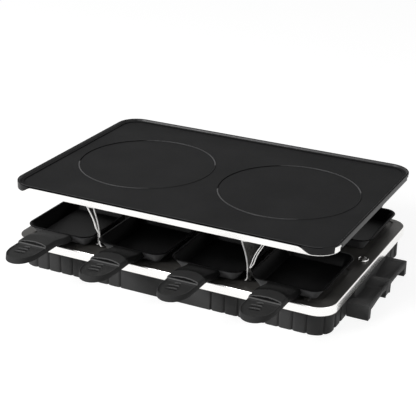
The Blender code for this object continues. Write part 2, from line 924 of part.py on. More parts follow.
def build_drill():
    """All upright holes: screws, lamp and conduit."""
    shells = []
    deck_low_z = tray_top_z - deck_screw_length - overrun
    foot_top_z = tray_top_z + fit_gap + pillar_sheet + overrun
    for x, y in pillar_spots(foot_tab_y):
        shells.append(revolved(x, y, [(drill_radius, deck_low_z), (drill_radius, foot_top_z)], screw_sides))
    lamp_hole = lamp_body_radius + fit_gap
    lamp_low_z = tray_top_z - lamp_body_drop - overrun
    lamp_high_z = tray_top_z + overrun
    shells.append(revolved(lamp_x, lamp_y, [(lamp_hole, lamp_low_z), (lamp_hole, lamp_high_z)], round_sides))
    hole = conduit_radius + fit_gap
    top_z = frame_low_z + frame_sheet + overrun
    shells.append(revolved(0.0, wall_middle_y, [(hole, lamp_low_z), (hole, top_z)], round_sides))
    return make_cutter("upright_drill", shells)


def grip_screw_z():
    """Height of the side handle screws."""
    return (grip_foot_z + grip_top_z) / 2


def build_side_drill():
    """Level holes: side handle screws and the gland."""
    inner_x = housing_half_x - scallop_depth - housing_wall - overrun
    length = scallop_depth + housing_wall + overrun + grip_screw_length
    profile = [(drill_radius, 0.0), (drill_radius, length)]
    shells = []
    for side in (-1, 1):
        pin = laid_along_x(revolved(0.0, 0.0, profile, screw_sides), side)
        shells.append(moved(pin, side * inner_x, 0.0, grip_screw_z()))
    hole = gland_radius + fit_gap
    inner_y = housing_half_y - scallop_depth - housing_wall - overrun
    reach = scallop_depth + housing_wall + overrun * 2
    pin = laid_along_y(revolved(0.0, 0.0, [(hole, 0.0), (hole, reach)], round_sides), 1)
    shells.append(moved(pin, 0.0, inner_y, gland_z))
    return make_cutter("level_drill", shells)


def build_fasteners():
    """Screws of the pillar feet and of the side handles."""
    head_z = tray_top_z + fit_gap + pillar_sheet + fit_gap
    for depth_side, row in ((-1, "front"), (1, "rear")):
        for side, word in ((-1, "left"), (1, "right")):
            pin = screw(side * pillar_x, depth_side * foot_tab_y, head_z, deck_screw_length)
            make("pillar_screw_" + row + "_" + word, pin, zinc_plate())
    head_x = housing_half_x - scallop_depth - housing_wall - fit_gap
    profile = [(head_radius / 2, -head_height), (head_radius, -head_height / 2), (head_radius, 0.0)]
    shank = scallop_depth + housing_wall + grip_screw_length - overrun
    profile += [(screw_radius, 0.0), (screw_radius, shank)]
    for side, word in ((-1, "left"), (1, "right")):
        pin = laid_along_x(revolved(0.0, 0.0, profile, screw_sides), side)
        pin = moved(pin, side * head_x, 0.0, grip_screw_z())
        make("side_handle_screw_" + word, pin, zinc_plate())


# Heating parts
def build_element():
    """Tubular element bent into an M between the straps."""
    z = element_z
    half = [
        (-element_pin_x, element_pin_y),
        (-element_pin_x, element_y - element_bend * 1.5),
        (-element_x, element_y - element_bend * 1.5),
        (-element_x, -element_y),
        (-element_inner_x, -element_y),
        (-element_inner_x, element_inner_y),
    ]
    corners = [Vector((x, y, z)) for x, y in half]
    corners += [Vector((-point.x, point.y, z)) for point in reversed(corners)]
    path = bent_path(corners, element_bend, bend_steps)
    make("heating_element", tube(path, element_radius, tube_sides), element_sheath())


def build_straps():
    """Two cross straps that lie on the frame's inner lip under the element."""
    half_y = plate_half_y - frame_inset - frame_ledge - fit_gap - point_space
    for side, word in ((-1, "left"), (1, "right")):
        low = (side * strap_x - strap_width / 2, -half_y, strap_z)
        high = (side * strap_x + strap_width / 2, half_y, strap_z + strap_sheet)
        make("element_strap_" + word, box(low, high), brushed_steel())


def build_insulators():
    """Ceramic beads on the two ends of the element."""
    inner = element_radius + fit_gap
    profile = [
        (inner, 0.0),
        (insulator_radius, 0.0),
        (insulator_radius, insulator_length),
        (inner, insulator_length),
    ]
    start_y = element_pin_y - insulator_length + point_space
    for side, word in ((-1, "left"), (1, "right")):
        bead = laid_along_y(hollow_round(0.0, 0.0, profile, screw_sides), 1)
        bead = moved(bead, side * element_pin_x, start_y, element_z)
        make("element_insulator_" + word, bead, pale_ceramic())


def build_cutout():
    """Thermal cut-out lying on the rear lip of the frame."""
    seat_z = frame_low_z + frame_sheet + fit_gap
    y = plate_half_y - frame_inset - frame_ledge - cutout_radius - fit_gap * 2
    body = [(cutout_radius, seat_z), (cutout_radius, seat_z + cutout_height / 2)]
    body += [(cutout_radius / 2, seat_z + cutout_height)]
    make("thermal_cutout", revolved(cutout_x, y, body, round_sides), pale_ceramic())


def build_conduit():
    """Sleeve that takes the leads from the frame down into the base."""
    low_z = housing_top_z - housing_wall - conduit_proud
    top_z = frame_low_z + frame_sheet + conduit_proud
    profile = [(conduit_bore, low_z), (conduit_radius, low_z), (conduit_radius, top_z), (conduit_bore, top_z)]
    make("lead_conduit", hollow_round(0.0, wall_middle_y, profile, screw_sides), brushed_steel())


def block_top_z():
    """Top of the terminal block."""
    return cover_z + cover_sheet + fit_gap + block_height


def build_terminal_block():
    """Terminal block on the bottom cover."""
    low_z = cover_z + cover_sheet + fit_gap
    low = (-block_x, block_place_y - block_y, low_z)
    high = (block_x, block_place_y + block_y, block_top_z())
    make("terminal_block", box(low, high), pale_ceramic())


def build_leads():
    """Supply leads from the block through the conduit to the element, and the flat lamp lead."""
    start_z = block_top_z() + fit_gap
    run_z = (start_z + housing_top_z - housing_wall) / 2
    over_z = element_z
    for side, word in ((-1, "left"), (1, "right")):
        near_x = side * lead_spread
        corners = [
            Vector((near_x, block_place_y, start_z)),
            Vector((near_x, block_place_y, run_z)),
            Vector((near_x, wall_middle_y, run_z)),
            Vector((near_x, wall_middle_y, over_z)),
            Vector((side * element_pin_x, wall_middle_y, over_z)),
            Vector((side * element_pin_x, element_pin_y + fit_gap, over_z)),
        ]
        lead = tube(bent_path(corners, lead_bend, bend_steps), lead_radius, lead_sides)
        make("supply_lead_" + word, lead, lead_sleeve())
    floor_z = cover_z + cover_sheet + fit_gap + lamp_lead_radius
    end_z = tray_top_z - lamp_body_drop
    corners = [
        Vector((block_x + fit_gap, block_place_y, floor_z)),
        Vector((lamp_x, block_place_y, floor_z)),
        Vector((lamp_x, lamp_y, floor_z)),
        Vector((lamp_x, lamp_y, end_z)),
    ]
    lead = tube(bent_path(corners, lead_bend, bend_steps), lamp_lead_radius, lead_sides)
    make("lamp_lead", lead, lead_sleeve())


def build_gland():
    """Cord gland in the rear wall, with its bore open."""
    reach = scallop_depth + housing_wall
    tail = gland_flange_length
    profile = [
        (gland_bore, -tail),
        (gland_radius, -tail),
        (gland_radius, reach + fit_gap),
        (gland_flange, reach + fit_gap),
        (gland_flange, reach + fit_gap + gland_flange_length),
        (gland_bore, reach + fit_gap + gland_flange_length),
    ]
    shell = laid_along_y(hollow_round(0.0, 0.0, profile, round_sides), 1)
    start_y = housing_half_y - scallop_depth - housing_wall
    make("cord_gland", moved(shell, 0.0, start_y, gland_z), plain_rubber())


# Pans
def pan_wall_y(z):
    """Distance of the outer pan wall from the middle of the grill at height z, front side."""
    low_z = pan_low_z + pan_floor_round
    high_z = pan_rim_z - pan_sheet
    share = (z - low_z) / (high_z - low_z)
    outer = pan_inner_y + pan_depth - pan_flange
    return outer - pan_slope * (1 - share)


def pan_shell():
    """Shallow pan, centred on X = 0, on the front side."""
    half_y = pan_depth / 2
    loop = rounded(pan_width / 2, half_y, pan_corner)
    deep = pan_flange + pan_slope
    low_z = pan_low_z
    rim = pan_rim_z
    sheet = pan_sheet
    rings = [
        ring(loop, deep + pan_floor_round, low_z),
        ring(loop, deep, low_z + pan_floor_round),
        ring(loop, pan_flange, rim - sheet),
        ring(loop, sheet / 4, rim - sheet),
        ring(loop, 0.0, rim - sheet / 2),
        ring(loop, sheet / 4, rim),
        ring(loop, pan_flange + sheet / 2, rim),
        ring(loop, pan_flange + sheet * 1.1, rim - sheet / 2),
        ring(loop, deep + sheet * 0.9, low_z + sheet + pan_floor_round),
        ring(loop, deep + sheet * 0.9 + pan_floor_round, low_z + sheet),
    ]
    return moved(loft(rings), 0.0, -(pan_inner_y + half_y), 0.0)


def pan_grip_ring(away, half_width, low_z, high_z, bow, dish):
    """Cross-section of the pan handle; away is its distance from the middle of the grill at the sides."""
    edge = min(grip_round, half_width / 4)
    rim = half_width - min(grip_rim_width, half_width / 3)
    half = [
        (half_width - edge, low_z),
        (half_width, low_z + edge),
        (half_width, high_z - edge),
        (half_width - edge, high_z),
        (rim - edge / 2, high_z),
        (rim - edge, high_z - dish),
    ]
    shape = half + [(0.0, high_z - dish)] + [(-x, z) for x, z in reversed(half)]
    return [Vector((x, bow * (1 - (x / half_width) ** 2) - away, z)) for x, z in shape]


def pan_grip_root(half_width, low_z, high_z):
    """Cross-section that leans against the pan's front wall."""
    row = pan_grip_ring(0.0, half_width, low_z, high_z, 0.0, 0.0)
    return [Vector((point.x, -pan_wall_y(point.z) - fit_gap * 2, point.z)) for point in row]


def pan_grip_shell():
    """Pan handle: rising root, raised block with a bowed end, straight ledge, sunk pad and round tip."""
    root = pan_inner_y + pan_depth + fit_gap
    seat_z = pan_rim_z - pan_sheet - fit_gap
    foot_z = seat_z - grip_root_height
    wide = grip_root_width / 2
    half = grip_width / 2
    ramp = root + grip_ramp_length
    block = root + grip_block_length
    ledge = root + grip_ledge_length
    end = root + grip_length
    low_z = grip_low_z
    neck_z = mix(foot_z, low_z, 0.6)
    rise_z = mix(seat_z, grip_block_z, 0.6)
    rings = [
        pan_grip_root(wide, foot_z, seat_z),
        pan_grip_ring(root, wide, foot_z, seat_z, 0.0, 0.0),
        pan_grip_ring(root + grip_round, wide, foot_z, seat_z + grip_round, 0.0, 0.0),
        pan_grip_ring(mix(root, ramp, 0.5), mix(wide, half, 0.4), neck_z, rise_z, 0.0, 0.0),
        pan_grip_ring(ramp, half, low_z, grip_block_z, grip_bow, 0.0),
        pan_grip_ring(block, half, low_z, grip_block_z, grip_bow, 0.0),
        pan_grip_ring(block + grip_riser_run, half, low_z, grip_ledge_z, grip_bow, 0.0),
        pan_grip_ring(ledge, half, low_z, grip_ledge_z, 0.0, 0.0),
        pan_grip_ring(ledge + grip_riser_run, half, low_z, grip_pad_z, 0.0, 0.0),
        pan_grip_ring(ledge + grip_riser_run * 3, half, low_z, grip_pad_z, 0.0, grip_dish_depth),
    ]
    for along, across, high in tip_shares:
        away = mix(end - grip_tip_length, end, along)
        top_z = mix(low_z, grip_pad_z, high)
        rings.append(pan_grip_ring(away, half * across, low_z, top_z, 0.0, grip_dish_depth * high * high))
    return loft(rings)


def rivet_z():
    """Height of the pan rivets."""
    return (pan_low_z + pan_rim_z) / 2 + pan_sheet


def rivet_seat():
    """Distance of the rivet head's flat side from the middle of the grill."""
    return pan_wall_y(rivet_z() - rivet_head) - pan_sheet * 1.8


def rivet_shell():
    """Rivet through the front pan wall into the handle."""
    profile = [(rivet_head / 2, -head_height), (rivet_head, -head_height / 2), (rivet_head, 0.0)]
    profile += [(screw_radius, 0.0), (screw_radius, rivet_length)]
    pin = laid_along_y(revolved(0.0, 0.0, profile, screw_sides), -1)
    return moved(pin, 0.0, -rivet_seat(), rivet_z())


def rivet_hole():
    """Drill for the rivet, longer at both ends."""
    profile = [(drill_radius, -overrun), (drill_radius, rivet_length + overrun / 2)]
    pin = laid_along_y(revolved(0.0, 0.0, profile, screw_sides), -1)
    return moved(pin, 0.0, -rivet_seat(), rivet_z())


def build_pans():
    """Four pans to the front and four to the rear, each with handle and rivet."""
    number = 0
    kinds = (
        ("pan_", pan_shell(), nonstick()),
        ("pan_handle_", pan_grip_shell(), black_plastic()),
        ("pan_rivet_", rivet_shell(), zinc_plate()),
    )
    for row, word in ((-1, "front"), (1, "rear")):
        holes = [moved(rivet_hole(), column, 0.0, 0.0) for column in pan_columns]
        if row > 0:
            holes = [mirrored_y(hole) for hole in holes]
        drill = make_cutter(word + "_rivet_drill", holes)
        for column in pan_columns:
            number += 1
            for label, shell, surface in kinds:
                placed = moved(shell, column, 0.0, 0.0)
                if row > 0:
                    placed = mirrored_y(placed)
                made = make(label + str(number), placed, surface)
                if label != "pan_rivet_":
                    combine(made, drill, 'DIFFERENCE')


def main():
    """Build every piece."""
    clear_scene()
    drill = build_drill()
    side_drill = build_side_drill()
    build_base_housing(drill, side_drill)
    build_bottom_cover()
    build_feet()
    build_deck_tray(drill)
    build_side_handle("side_handle_right", 1, side_drill)
    build_side_handle("side_handle_left", -1, side_drill)
    build_lamp()
    build_pillars(drill)
    build_fasteners()
    build_heater_frame(drill)
    build_straps()
    build_element()
    build_insulators()
    build_cutout()
    build_conduit()
    build_terminal_block()
    build_leads()
    build_gland()
    build_top_plate()
    build_pans()


main()
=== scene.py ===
"""Looks of the electric table grill, dressed over its frame.

Metres, +Z up, the front towards -Y, with the same origin as the frame.
"""
import bpy
import bmesh
from math import cos, exp, pi, radians, sin
from mathutils import Matrix, Vector

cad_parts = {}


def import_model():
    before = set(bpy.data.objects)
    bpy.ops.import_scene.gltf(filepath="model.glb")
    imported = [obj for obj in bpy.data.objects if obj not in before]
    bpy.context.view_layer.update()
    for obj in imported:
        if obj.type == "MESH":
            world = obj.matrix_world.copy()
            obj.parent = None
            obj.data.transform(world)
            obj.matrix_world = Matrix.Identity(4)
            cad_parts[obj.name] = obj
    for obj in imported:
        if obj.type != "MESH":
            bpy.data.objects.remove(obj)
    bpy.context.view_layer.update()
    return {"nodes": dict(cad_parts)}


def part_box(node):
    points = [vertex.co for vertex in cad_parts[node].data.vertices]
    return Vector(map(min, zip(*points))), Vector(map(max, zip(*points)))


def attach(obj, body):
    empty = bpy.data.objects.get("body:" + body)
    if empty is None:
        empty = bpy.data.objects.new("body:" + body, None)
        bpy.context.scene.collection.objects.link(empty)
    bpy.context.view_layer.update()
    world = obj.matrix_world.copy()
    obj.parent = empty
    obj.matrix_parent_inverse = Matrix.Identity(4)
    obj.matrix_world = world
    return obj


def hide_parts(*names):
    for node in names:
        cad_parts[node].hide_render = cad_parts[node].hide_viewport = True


# Camera
camera_place = (0.647, -1.341, 0.6987)
camera_yaw = radians(26.16)
camera_pitch = radians(22.717)
camera_roll = radians(1.077)
focal_share = 2.815
sensor_width = 36.0
view_reach = 40.0

# Studio
floor_half = 4.0
floor_glow = 0.87
floor_tone = 0.30
lamp_aim = (0.0, 0.0, 0.06)
key_place = (-1.35, -2.10, 1.42)
key_size = 1.2
key_power = 76.0
fill_place = (2.2, -0.7, 1.0)
fill_size = 1.4
fill_power = 10.0
world_strength = 0.20

# Sides, fineness and edges
sides = ((-1, "left"), (1, "right"))
smooth_angle = 0.55
corner_steps = 14
edge_steps = 4
point_space = 0.0008
chamfer_share = 0.3

# Grill plate
plate_corner = 0.031
plate_shelf = 0.0080
plate_wall = 0.0012
plate_lip = 0.0029
plate_slab_drop = 0.0015
plate_edge = 0.0012
plate_rim_rise = 0.0038
rim_flat = 0.0022
rim_foot = 0.0048
rim_steps = 6
# Turn, steepness and front share that pick the plate's faces for painted shade and painted highlight.
rim_turned = 0.35
rim_steep = 0.5
rim_front = 0.9
lobe_drop = 0.0074
side_drop = 0.0056
lobe_turn_share = 0.70
lobe_turn_step = 0.015
square_on = 0.999
sweep_end_inset = 0.027
sweep_run = 0.018
left_sweep_shift = 0.009
sweep_steps = 16
side_skirt_inset = 0.0326
ring_radius = 0.095
ring_offset = 0.1076
ring_half = 0.00095
ring_rise = 0.00075
ring_sides = 180
ring_steps = 8
# Where the rings' painted shade lies: the dark arc's direction and width, and the sides turned from the
# light.
ring_dark_turn = radians(162)
ring_arc_share = 0.75
ring_lee_slant = 0.3
ring_lee_share = 0.1

# Deck tray
tray_corner = 0.0255
tray_sheet = 0.0012
tray_round = 0.0018
tray_round_steps = 6
# How far in from the rolled edge the deck's painted dark top begins.
tray_top_share = 0.6
recess_depth = 0.0015
recess_end = 0.0181
recess_edge = 0.0091
recess_mid = 0.031
recess_corner = 0.0080
recess_steps = 6
rail_width = 0.006
rail_offset = 0.027
pan_pitch = 0.110
pan_count = 4

# Base housing
housing_corner = 0.0236
housing_wall = 0.0045
housing_plain_top = 0.0125
housing_fade = 0.0022
housing_foot_edge = 0.0006
housing_skirt = 0.0026
scallop_first = 0.0668
scallop_pitch = 0.01865
scallop_count = 7
scallop_steps = 12
scallop_depth = 0.0024
scallop_sharp = 7
corner_scallop = 0.0238
end_scallop_pitch = 0.0195

# Side handles
grip_half_length = 0.077
grip_end_leg = 0.0080
grip_mid_leg = 0.0090
grip_mid_foot = 0.0026
grip_mid_floor = 0.0150
grip_foot = 0.0005
grip_top = 0.0209
grip_mid_proud = 0.0012
grip_lip = 0.0026
grip_arch = 0.0150
grip_arch_foot = 0.0120
grip_wall_low = 0.0100
grip_web = 0.0018
grip_edge = 0.0010
grip_strip_width = 0.0039
grip_strip_half = 0.0600
grip_strip_top = 0.0317
grip_strip_foot = 0.0005
grip_strip_low = 0.0235
grip_wall_inset = 0.0004
grip_crown = 0.0040
grip_slant = 0.0025
grip_proud_power = 4
grip_crown_power = 2.5
grip_mid_steps = 8
grip_arch_steps = 16
grip_lip_lean = 0.4
grip_trough_lean = 2.5
strip_cut_share = 0.002
trough_run = 0.18
trough_start = 0.55
trough_fall = 0.9
trough_fall_from = 0.45

# Pillars
pillar_sheet = 0.0010
pillar_front_y = 0.1275
pillar_tab = 0.0141
neck_half = 0.00225
neck_skew = 0.0017
neck_top_z = 0.06305
flare_inner = 0.0019
flare_forward = 0.0162
flare_outer = 0.0218
hem_low = 0.0018
hem_high = 0.0019
hem_rise_low = 0.0007
hem_rise_high = 0.0009
hem_marks = (0.0, 0.2, 0.5, 0.8, 1.0)
web_steps = 4
web_start = 1.3
web_start_most = 0.9
line_inset = 0.0040
line_inset_most = 0.4
line_half = 0.0008
line_half_most = 0.3
line_rise = 0.6
line_points = 3
flange_root = 0.0026
flange_reach = 0.0134
foot_spread = 0.0045
foot_rows = ((1, 0.6), (2, 0.25), (4, 0.0))
flare_points = ((0.0, 0.0, 0.0), (0.16, 0.08, 0.21), (0.29, 0.18, 0.28), (0.43, 0.30, 0.38),
                (0.57, 0.46, 0.52), (0.71, 0.64, 0.69), (0.85, 0.83, 0.85), (1.0, 1.0, 1.0))
flare_steps = 14

# Pilot lamp
lamp_sides = 48
lamp_steps = 10
lamp_ring_share = 0.80
lamp_ring_foot = 0.35
lamp_dome_foot = 0.12
lamp_dome_open = 0.12

# Pans
pan_corner = 0.0175
pan_sheet = 0.0012
pan_flange = 0.0018
pan_slope = 0.0100
pan_round = 0.0020
pan_round_steps = 5
pan_lip_steps = 6
pan_outer_lip = ((0.3, 1.2), (0.0, 1.0))
pan_inner_lip = ((0.5, 0.0), (0.9, 0.3), (1.15, 0.8))
pan_wall_share = 0.9
# Share of the pan's faces, from the outside in, that keep the outside painted grey as light.
pan_inner_share = 0.35

# Pan handles
root_half = 0.0212
pad_half = 0.0213
root_away = 0.1471
ramp_run = 0.036
root_end = 0.1835
block_arc = 0.1870
block_arc_bow = 0.0100
ledge_arc = 0.2028
ledge_arc_bow = 0.0063
pad_edge = 0.2034
riser_run = 0.0012
tip_start = 0.2180
tip_away = 0.2482
tip_lean = 0.0022
tip_power = 0.42
tip_blunt = 0.0004
tip_taper = 0.03
tip_steps = 12
tip_first_turn = 0.1
handle_edge = 0.0010
handle_columns = 30
handle_runs = ((0.185, 0.1945, 6), (0.195, 0.2065, 32), (0.2072, 0.2300, 46), (0.2315, 0.2360, 3))
ramp_steps = 24
wall_gap = 0.0015
wall_height = 0.0141
seat_z = 0.0598
foot_z = 0.0504
low_z = 0.0570
block_z = 0.0668
ledge_z = 0.0657
pad_z = 0.0644
pad_rim = 0.0009
pad_dish = 0.0012
ridge_rise = 0.0012
ridge_half = 0.0011
ridge_groove = 0.0027
ridge_slant = 0.0010
ridge_bow = 0.0012
ridge_fade = 0.002
groove_share = 0.5
thumb_ridges = ((0.2087, -0.0080, 0.0030), (0.2160, -0.0125, 0.0045), (0.2240, -0.0105, 0.0055))
# Widths and ridge heights that place the pan handles' painted highlights and painted shade.
arc_line_half = 0.0007
highlight_relief = 0.62
shade_relief = -0.2
top_facing = 0.2


# Helpers for materials
def material(name, colour, roughness, metallic, specular):
    """Principled surface; returns the material, its tree and its shader."""
    made = bpy.data.materials.new(name)
    made.use_nodes = True
    tree = made.node_tree
    shader = tree.nodes["Principled BSDF"]
    shader.inputs["Base Color"].default_value = (*colour, 1.0)
    shader.inputs["Roughness"].default_value = roughness
    shader.inputs["Metallic"].default_value = metallic
    shader.inputs["Specular IOR Level"].default_value = specular
    return made, tree, shader


def add_node(tree, kind, inputs):
    """Node of a kind with its inputs set, or linked where they are given an output."""
    made = tree.nodes.new(kind)
    for key, value in inputs.items():
        if isinstance(value, bpy.types.NodeSocket):
            tree.links.new(value, made.inputs[key])
        else:
            made.inputs[key].default_value = value
    return made


def noise(tree, stretch, scale, detail):
    """Noise from 0 to 1 over the object's own metres, scaled by axis."""
    place = add_node(tree, "ShaderNodeTexCoord", {}).outputs["Object"]
    scaled = add_node(tree, "ShaderNodeMapping", {"Vector": place, "Scale": stretch}).outputs["Vector"]
    inputs = {"Vector": scaled, "Scale": scale, "Detail": detail}
    return add_node(tree, "ShaderNodeTexNoise", inputs).outputs["Fac"]


def ranged(tree, value, low, high):
    """The middle part of a 0 to 1 value spread over low to high."""
    inputs = {"Value": value, "From Min": 0.3, "From Max": 0.7, "To Min": low, "To Max": high}
    return add_node(tree, "ShaderNodeMapRange", inputs).outputs["Result"]


def finish(name, metallic, specular, cloud, tones=None, colour=None, gloss=None, roughness=None,
           grain=None, stretch=(1.0, 1.0, 1.0), relief=None):
    """Surface whose tone follows a cloud, and whose gloss and relief follow a grain or else the cloud.

    cloud and grain are a scale and a detail; tones and gloss are the ends of a varied colour and roughness.
    """
    colour = colour or [mix(first, last, 0.5) for first, last in zip(*tones)]
    roughness = roughness or mix(*gloss, 0.5)
    made, tree, shader = material(name, colour, roughness, metallic, specular)
    cloudy = noise(tree, (1.0, 1.0, 1.0), *cloud)
    grainy = noise(tree, stretch, *grain) if grain else cloudy
    if tones:
        blend = tree.nodes.new("ShaderNodeMix")
        blend.data_type = "RGBA"
        blend.inputs[6].default_value = (*tones[0], 1.0)
        blend.inputs[7].default_value = (*tones[1], 1.0)
        tree.links.new(ranged(tree, cloudy, 0.0, 1.0), blend.inputs[0])
        tree.links.new(blend.outputs[2], shader.inputs["Base Color"])
    if gloss:
        tree.links.new(ranged(tree, grainy, *gloss), shader.inputs["Roughness"])
    if relief:
        bump = add_node(tree, "ShaderNodeBump", {"Height": grainy, "Distance": relief})
        tree.links.new(bump.outputs["Normal"], shader.inputs["Normal"])
    return made


# Materials
def nonstick():
    """Dark coat with a fine sprayed grain."""
    tones = (0.019, 0.019, 0.0195), (0.025, 0.025, 0.0255)
    return finish("nonstick_coat", 0.0, 0.012, (14.0, 3.0), tones=tones, gloss=(0.48, 0.62),
                  grain=(1600.0, 2.0), relief=0.00006)


def shaded_coat_edge():
    """The plate's coat on its steep sides and on slopes turned from the light, smoother, and painted darker
    as shade.
    """
    tones = (0.004, 0.004, 0.0042), (0.008, 0.008, 0.0083)
    return finish("shaded_coat_edge", 0.0, 0.18, (60.0, 3.0), tones=tones, gloss=(0.28, 0.40),
                  grain=(1500.0, 2.0), relief=0.00003)


def deep_shade_coat():
    """The plate's coat in its sharp folds, dull, and painted near black as shade."""
    tones = (0.0018, 0.0018, 0.0019), (0.0036, 0.0036, 0.0037)
    return finish("deep_shade_coat", 0.0, 0.01, (60.0, 3.0), tones=tones, gloss=(0.44, 0.56),
                  grain=(1500.0, 2.0), relief=0.00003)


def highlight_coat():
    """The plate's coat on the raised rings, the rim's slope and its front bend, smoother, and painted
    lighter as a highlight.
    """
    tones = (0.034, 0.034, 0.035), (0.048, 0.048, 0.049)
    return finish("highlight_coat", 0.0, 0.12, (260.0, 3.0), tones=tones, gloss=(0.26, 0.38))


def pan_outside_lit():
    """Outside of the pans, painted grey as the light falling on their walls."""
    tones = (0.076, 0.076, 0.077), (0.098, 0.098, 0.100)
    return finish("pan_outside_lit", 0.0, 0.12, (30.0, 3.0), tones=tones, gloss=(0.42, 0.58),
                  grain=(1200.0, 2.0), relief=0.00004)


def pan_coat():
    """Smooth black inside of the pans."""
    tones = (0.0030, 0.0030, 0.0031), (0.0052, 0.0052, 0.0054)
    return finish("pan_coat", 0.0, 0.03, (22.0, 3.0), tones=tones, gloss=(0.28, 0.40),
                  grain=(1400.0, 2.0), relief=0.00004)


def plastic(name, darkest, lightest):
    """Moulded plastic with a spark-eroded texture."""
    tones = (darkest,) * 3, (lightest,) * 3
    return finish(name, 0.0, 0.02, (20.0, 3.0), tones=tones, gloss=(0.38, 0.55),
                  grain=(1100.0, 2.0), relief=0.00005)


def deck_top_shaded():
    """Tray top, brushed along its length, heat-tinted, and painted dark as shade and as the dark reflection
    of the plate above.
    """
    tones = (0.066, 0.063, 0.059), (0.090, 0.087, 0.081)
    return finish("deck_top_shaded", 0.35, 0.15, (26.0, 4.0), tones=tones, gloss=(0.32, 0.48),
                  grain=(2200.0, 3.0), stretch=(0.03, 1.0, 1.0), relief=0.00003)


def brushed_steel():
    """Sheet brushed along its length."""
    tones = (0.915, 0.905, 0.89), (0.95, 0.94, 0.925)
    return finish("brushed_steel", 1.0, 0.5, (9.0, 3.0), tones=tones, gloss=(0.18, 0.32),
                  grain=(2600.0, 2.0), stretch=(0.02, 1.0, 1.0), relief=0.00002)


def polished_steel():
    """Bright rolled sheet."""
    tones = (0.90, 0.89, 0.875), (0.94, 0.93, 0.915)
    return finish("polished_steel", 1.0, 0.5, (12.0, 3.0), tones=tones, gloss=(0.12, 0.24),
                  grain=(1500.0, 2.0), stretch=(0.05, 1.0, 1.0), relief=0.00001)


def pillar_web_painted_dark():
    """Dull mottled sheet between the bright hems, painted dark as a dark reflection."""
    tones = (0.034, 0.033, 0.031), (0.092, 0.090, 0.086)
    return finish("pillar_web_painted_dark", 1.0, 0.5, (420.0, 4.0), tones=tones, gloss=(0.32, 0.50), relief=0.00012)


def hem_steel_painted_bright():
    """Rolled hems of the pillars, satin, with a pale diffuse share that paints a highlight along them."""
    tones = (0.84, 0.83, 0.815), (0.92, 0.91, 0.895)
    return finish("hem_steel_painted_bright", 0.55, 0.5, (90.0, 3.0), tones=tones, gloss=(0.36, 0.50), relief=0.00001)


def zinc():
    """Zinc-plated screws and rivets."""
    return finish("zinc_plate", 1.0, 0.5, (700.0, 4.0), colour=(0.62, 0.62, 0.60), gloss=(0.26, 0.50),
                  relief=0.00002)


def sheath():
    """Heat-coloured tube of the element."""
    tones = (0.10, 0.095, 0.09), (0.21, 0.18, 0.15)
    return finish("element_sheath", 0.8, 0.5, (90.0, 5.0), tones=tones, gloss=(0.42, 0.65), relief=0.00003)


def rubber():
    """Matt rubber with a dusty bloom."""
    tones = (0.012,) * 3, (0.026,) * 3
    return finish("black_rubber", 0.0, 0.3, (160.0, 4.0), tones=tones, roughness=0.85, relief=0.00008)


def ceramic():
    """Unglazed steatite."""
    tones = (0.72, 0.69, 0.62), (0.82, 0.80, 0.75)
    return finish("pale_ceramic", 0.0, 0.5, (400.0, 4.0), tones=tones, roughness=0.55, relief=0.00004)


def sleeve():
    """Woven glass sleeve of the leads."""
    tones = (0.48, 0.45, 0.40), (0.68, 0.65, 0.60)
    return finish("lead_sleeve", 0.0, 0.5, (1300.0, 2.0), tones=tones, roughness=0.8, relief=0.0001)


def lens():
    """Smoky dome of the lamp."""
    made = finish("lamp_lens", 0.0, 0.5, (300.0, 2.0), colour=(0.10, 0.095, 0.09), gloss=(0.05, 0.14))
    made.node_tree.nodes["Principled BSDF"].inputs["Transmission Weight"].default_value = 0.25
    return made


# Helpers for outlines and solids: a shell is (points, faces)
def mix(first, second, share):
    """Value between first and second."""
    return first + (second - first) * share


def smooth_step(share):
    """Soft ramp from 0 to 1."""
    held = min(max(share, 0.0), 1.0)
    return held * held * (3 - 2 * held)


def spread(first, last, steps):
    """Evenly spaced values with both ends."""
    return [mix(first, last, step / steps) for step in range(steps + 1)]


def quadrant(half_x, half_y, corner, front_marks, side_marks, turn_shares):
    """Edge points (x, y, normal x, normal y) from the middle of the front to the middle of the right."""
    points = [(x, -half_y, 0.0, -1.0) for x in front_marks if x < half_x - corner - point_space]
    for share in turn_shares:
        turn = pi / 2 * (share - 1)
        x = half_x - corner + corner * cos(turn)
        y = -half_y + corner + corner * sin(turn)
        points.append((x, y, cos(turn), sin(turn)))
    points += [(half_x, y, 1.0, 0.0) for y in side_marks if y > -half_y + corner + point_space]
    return points


def whole_loop(quarter):
    """The quarter mirrored to all four sides, without doubled points."""
    right = quarter + [(x, -y, nx, -ny) for x, y, nx, ny in reversed(quarter)]
    left = [(-x, y, -nx, ny) for x, y, nx, ny in reversed(right)]
    loop = []
    for point in right + left:
        if not loop or abs(point[0] - loop[-1][0]) + abs(point[1] - loop[-1][1]) > point_space / 8:
            loop.append(point)
    if abs(loop[0][0] - loop[-1][0]) + abs(loop[0][1] - loop[-1][1]) < point_space / 8:
        loop.pop()
    return loop


def rounded(half_x, half_y, corner, steps=corner_steps):
    """Plain rounded rectangle."""
    return whole_loop(quadrant(half_x, half_y, corner, [], [], spread(0.0, 1.0, steps)))


def ring(loop, inset, z):
    """The loop moved inwards by inset, at height z."""
    return [Vector((x - nx * inset, y - ny * inset, z)) for x, y, nx, ny in loop]


def edge_round(radius, steps=edge_steps):
    """(inset, drop) pairs of an outer edge, from the side up to the top."""
    turns = spread(0.0, pi / 2, steps)
    return [(radius * (1 - cos(turn)), radius * (1 - sin(turn))) for turn in turns]


def circle(centre_x, centre_y, radius, z, steps):
    """Round ring of points."""
    turns = [2 * pi * step / steps for step in range(steps)]
    return [Vector((centre_x + radius * cos(turn), centre_y + radius * sin(turn), z)) for turn in turns]


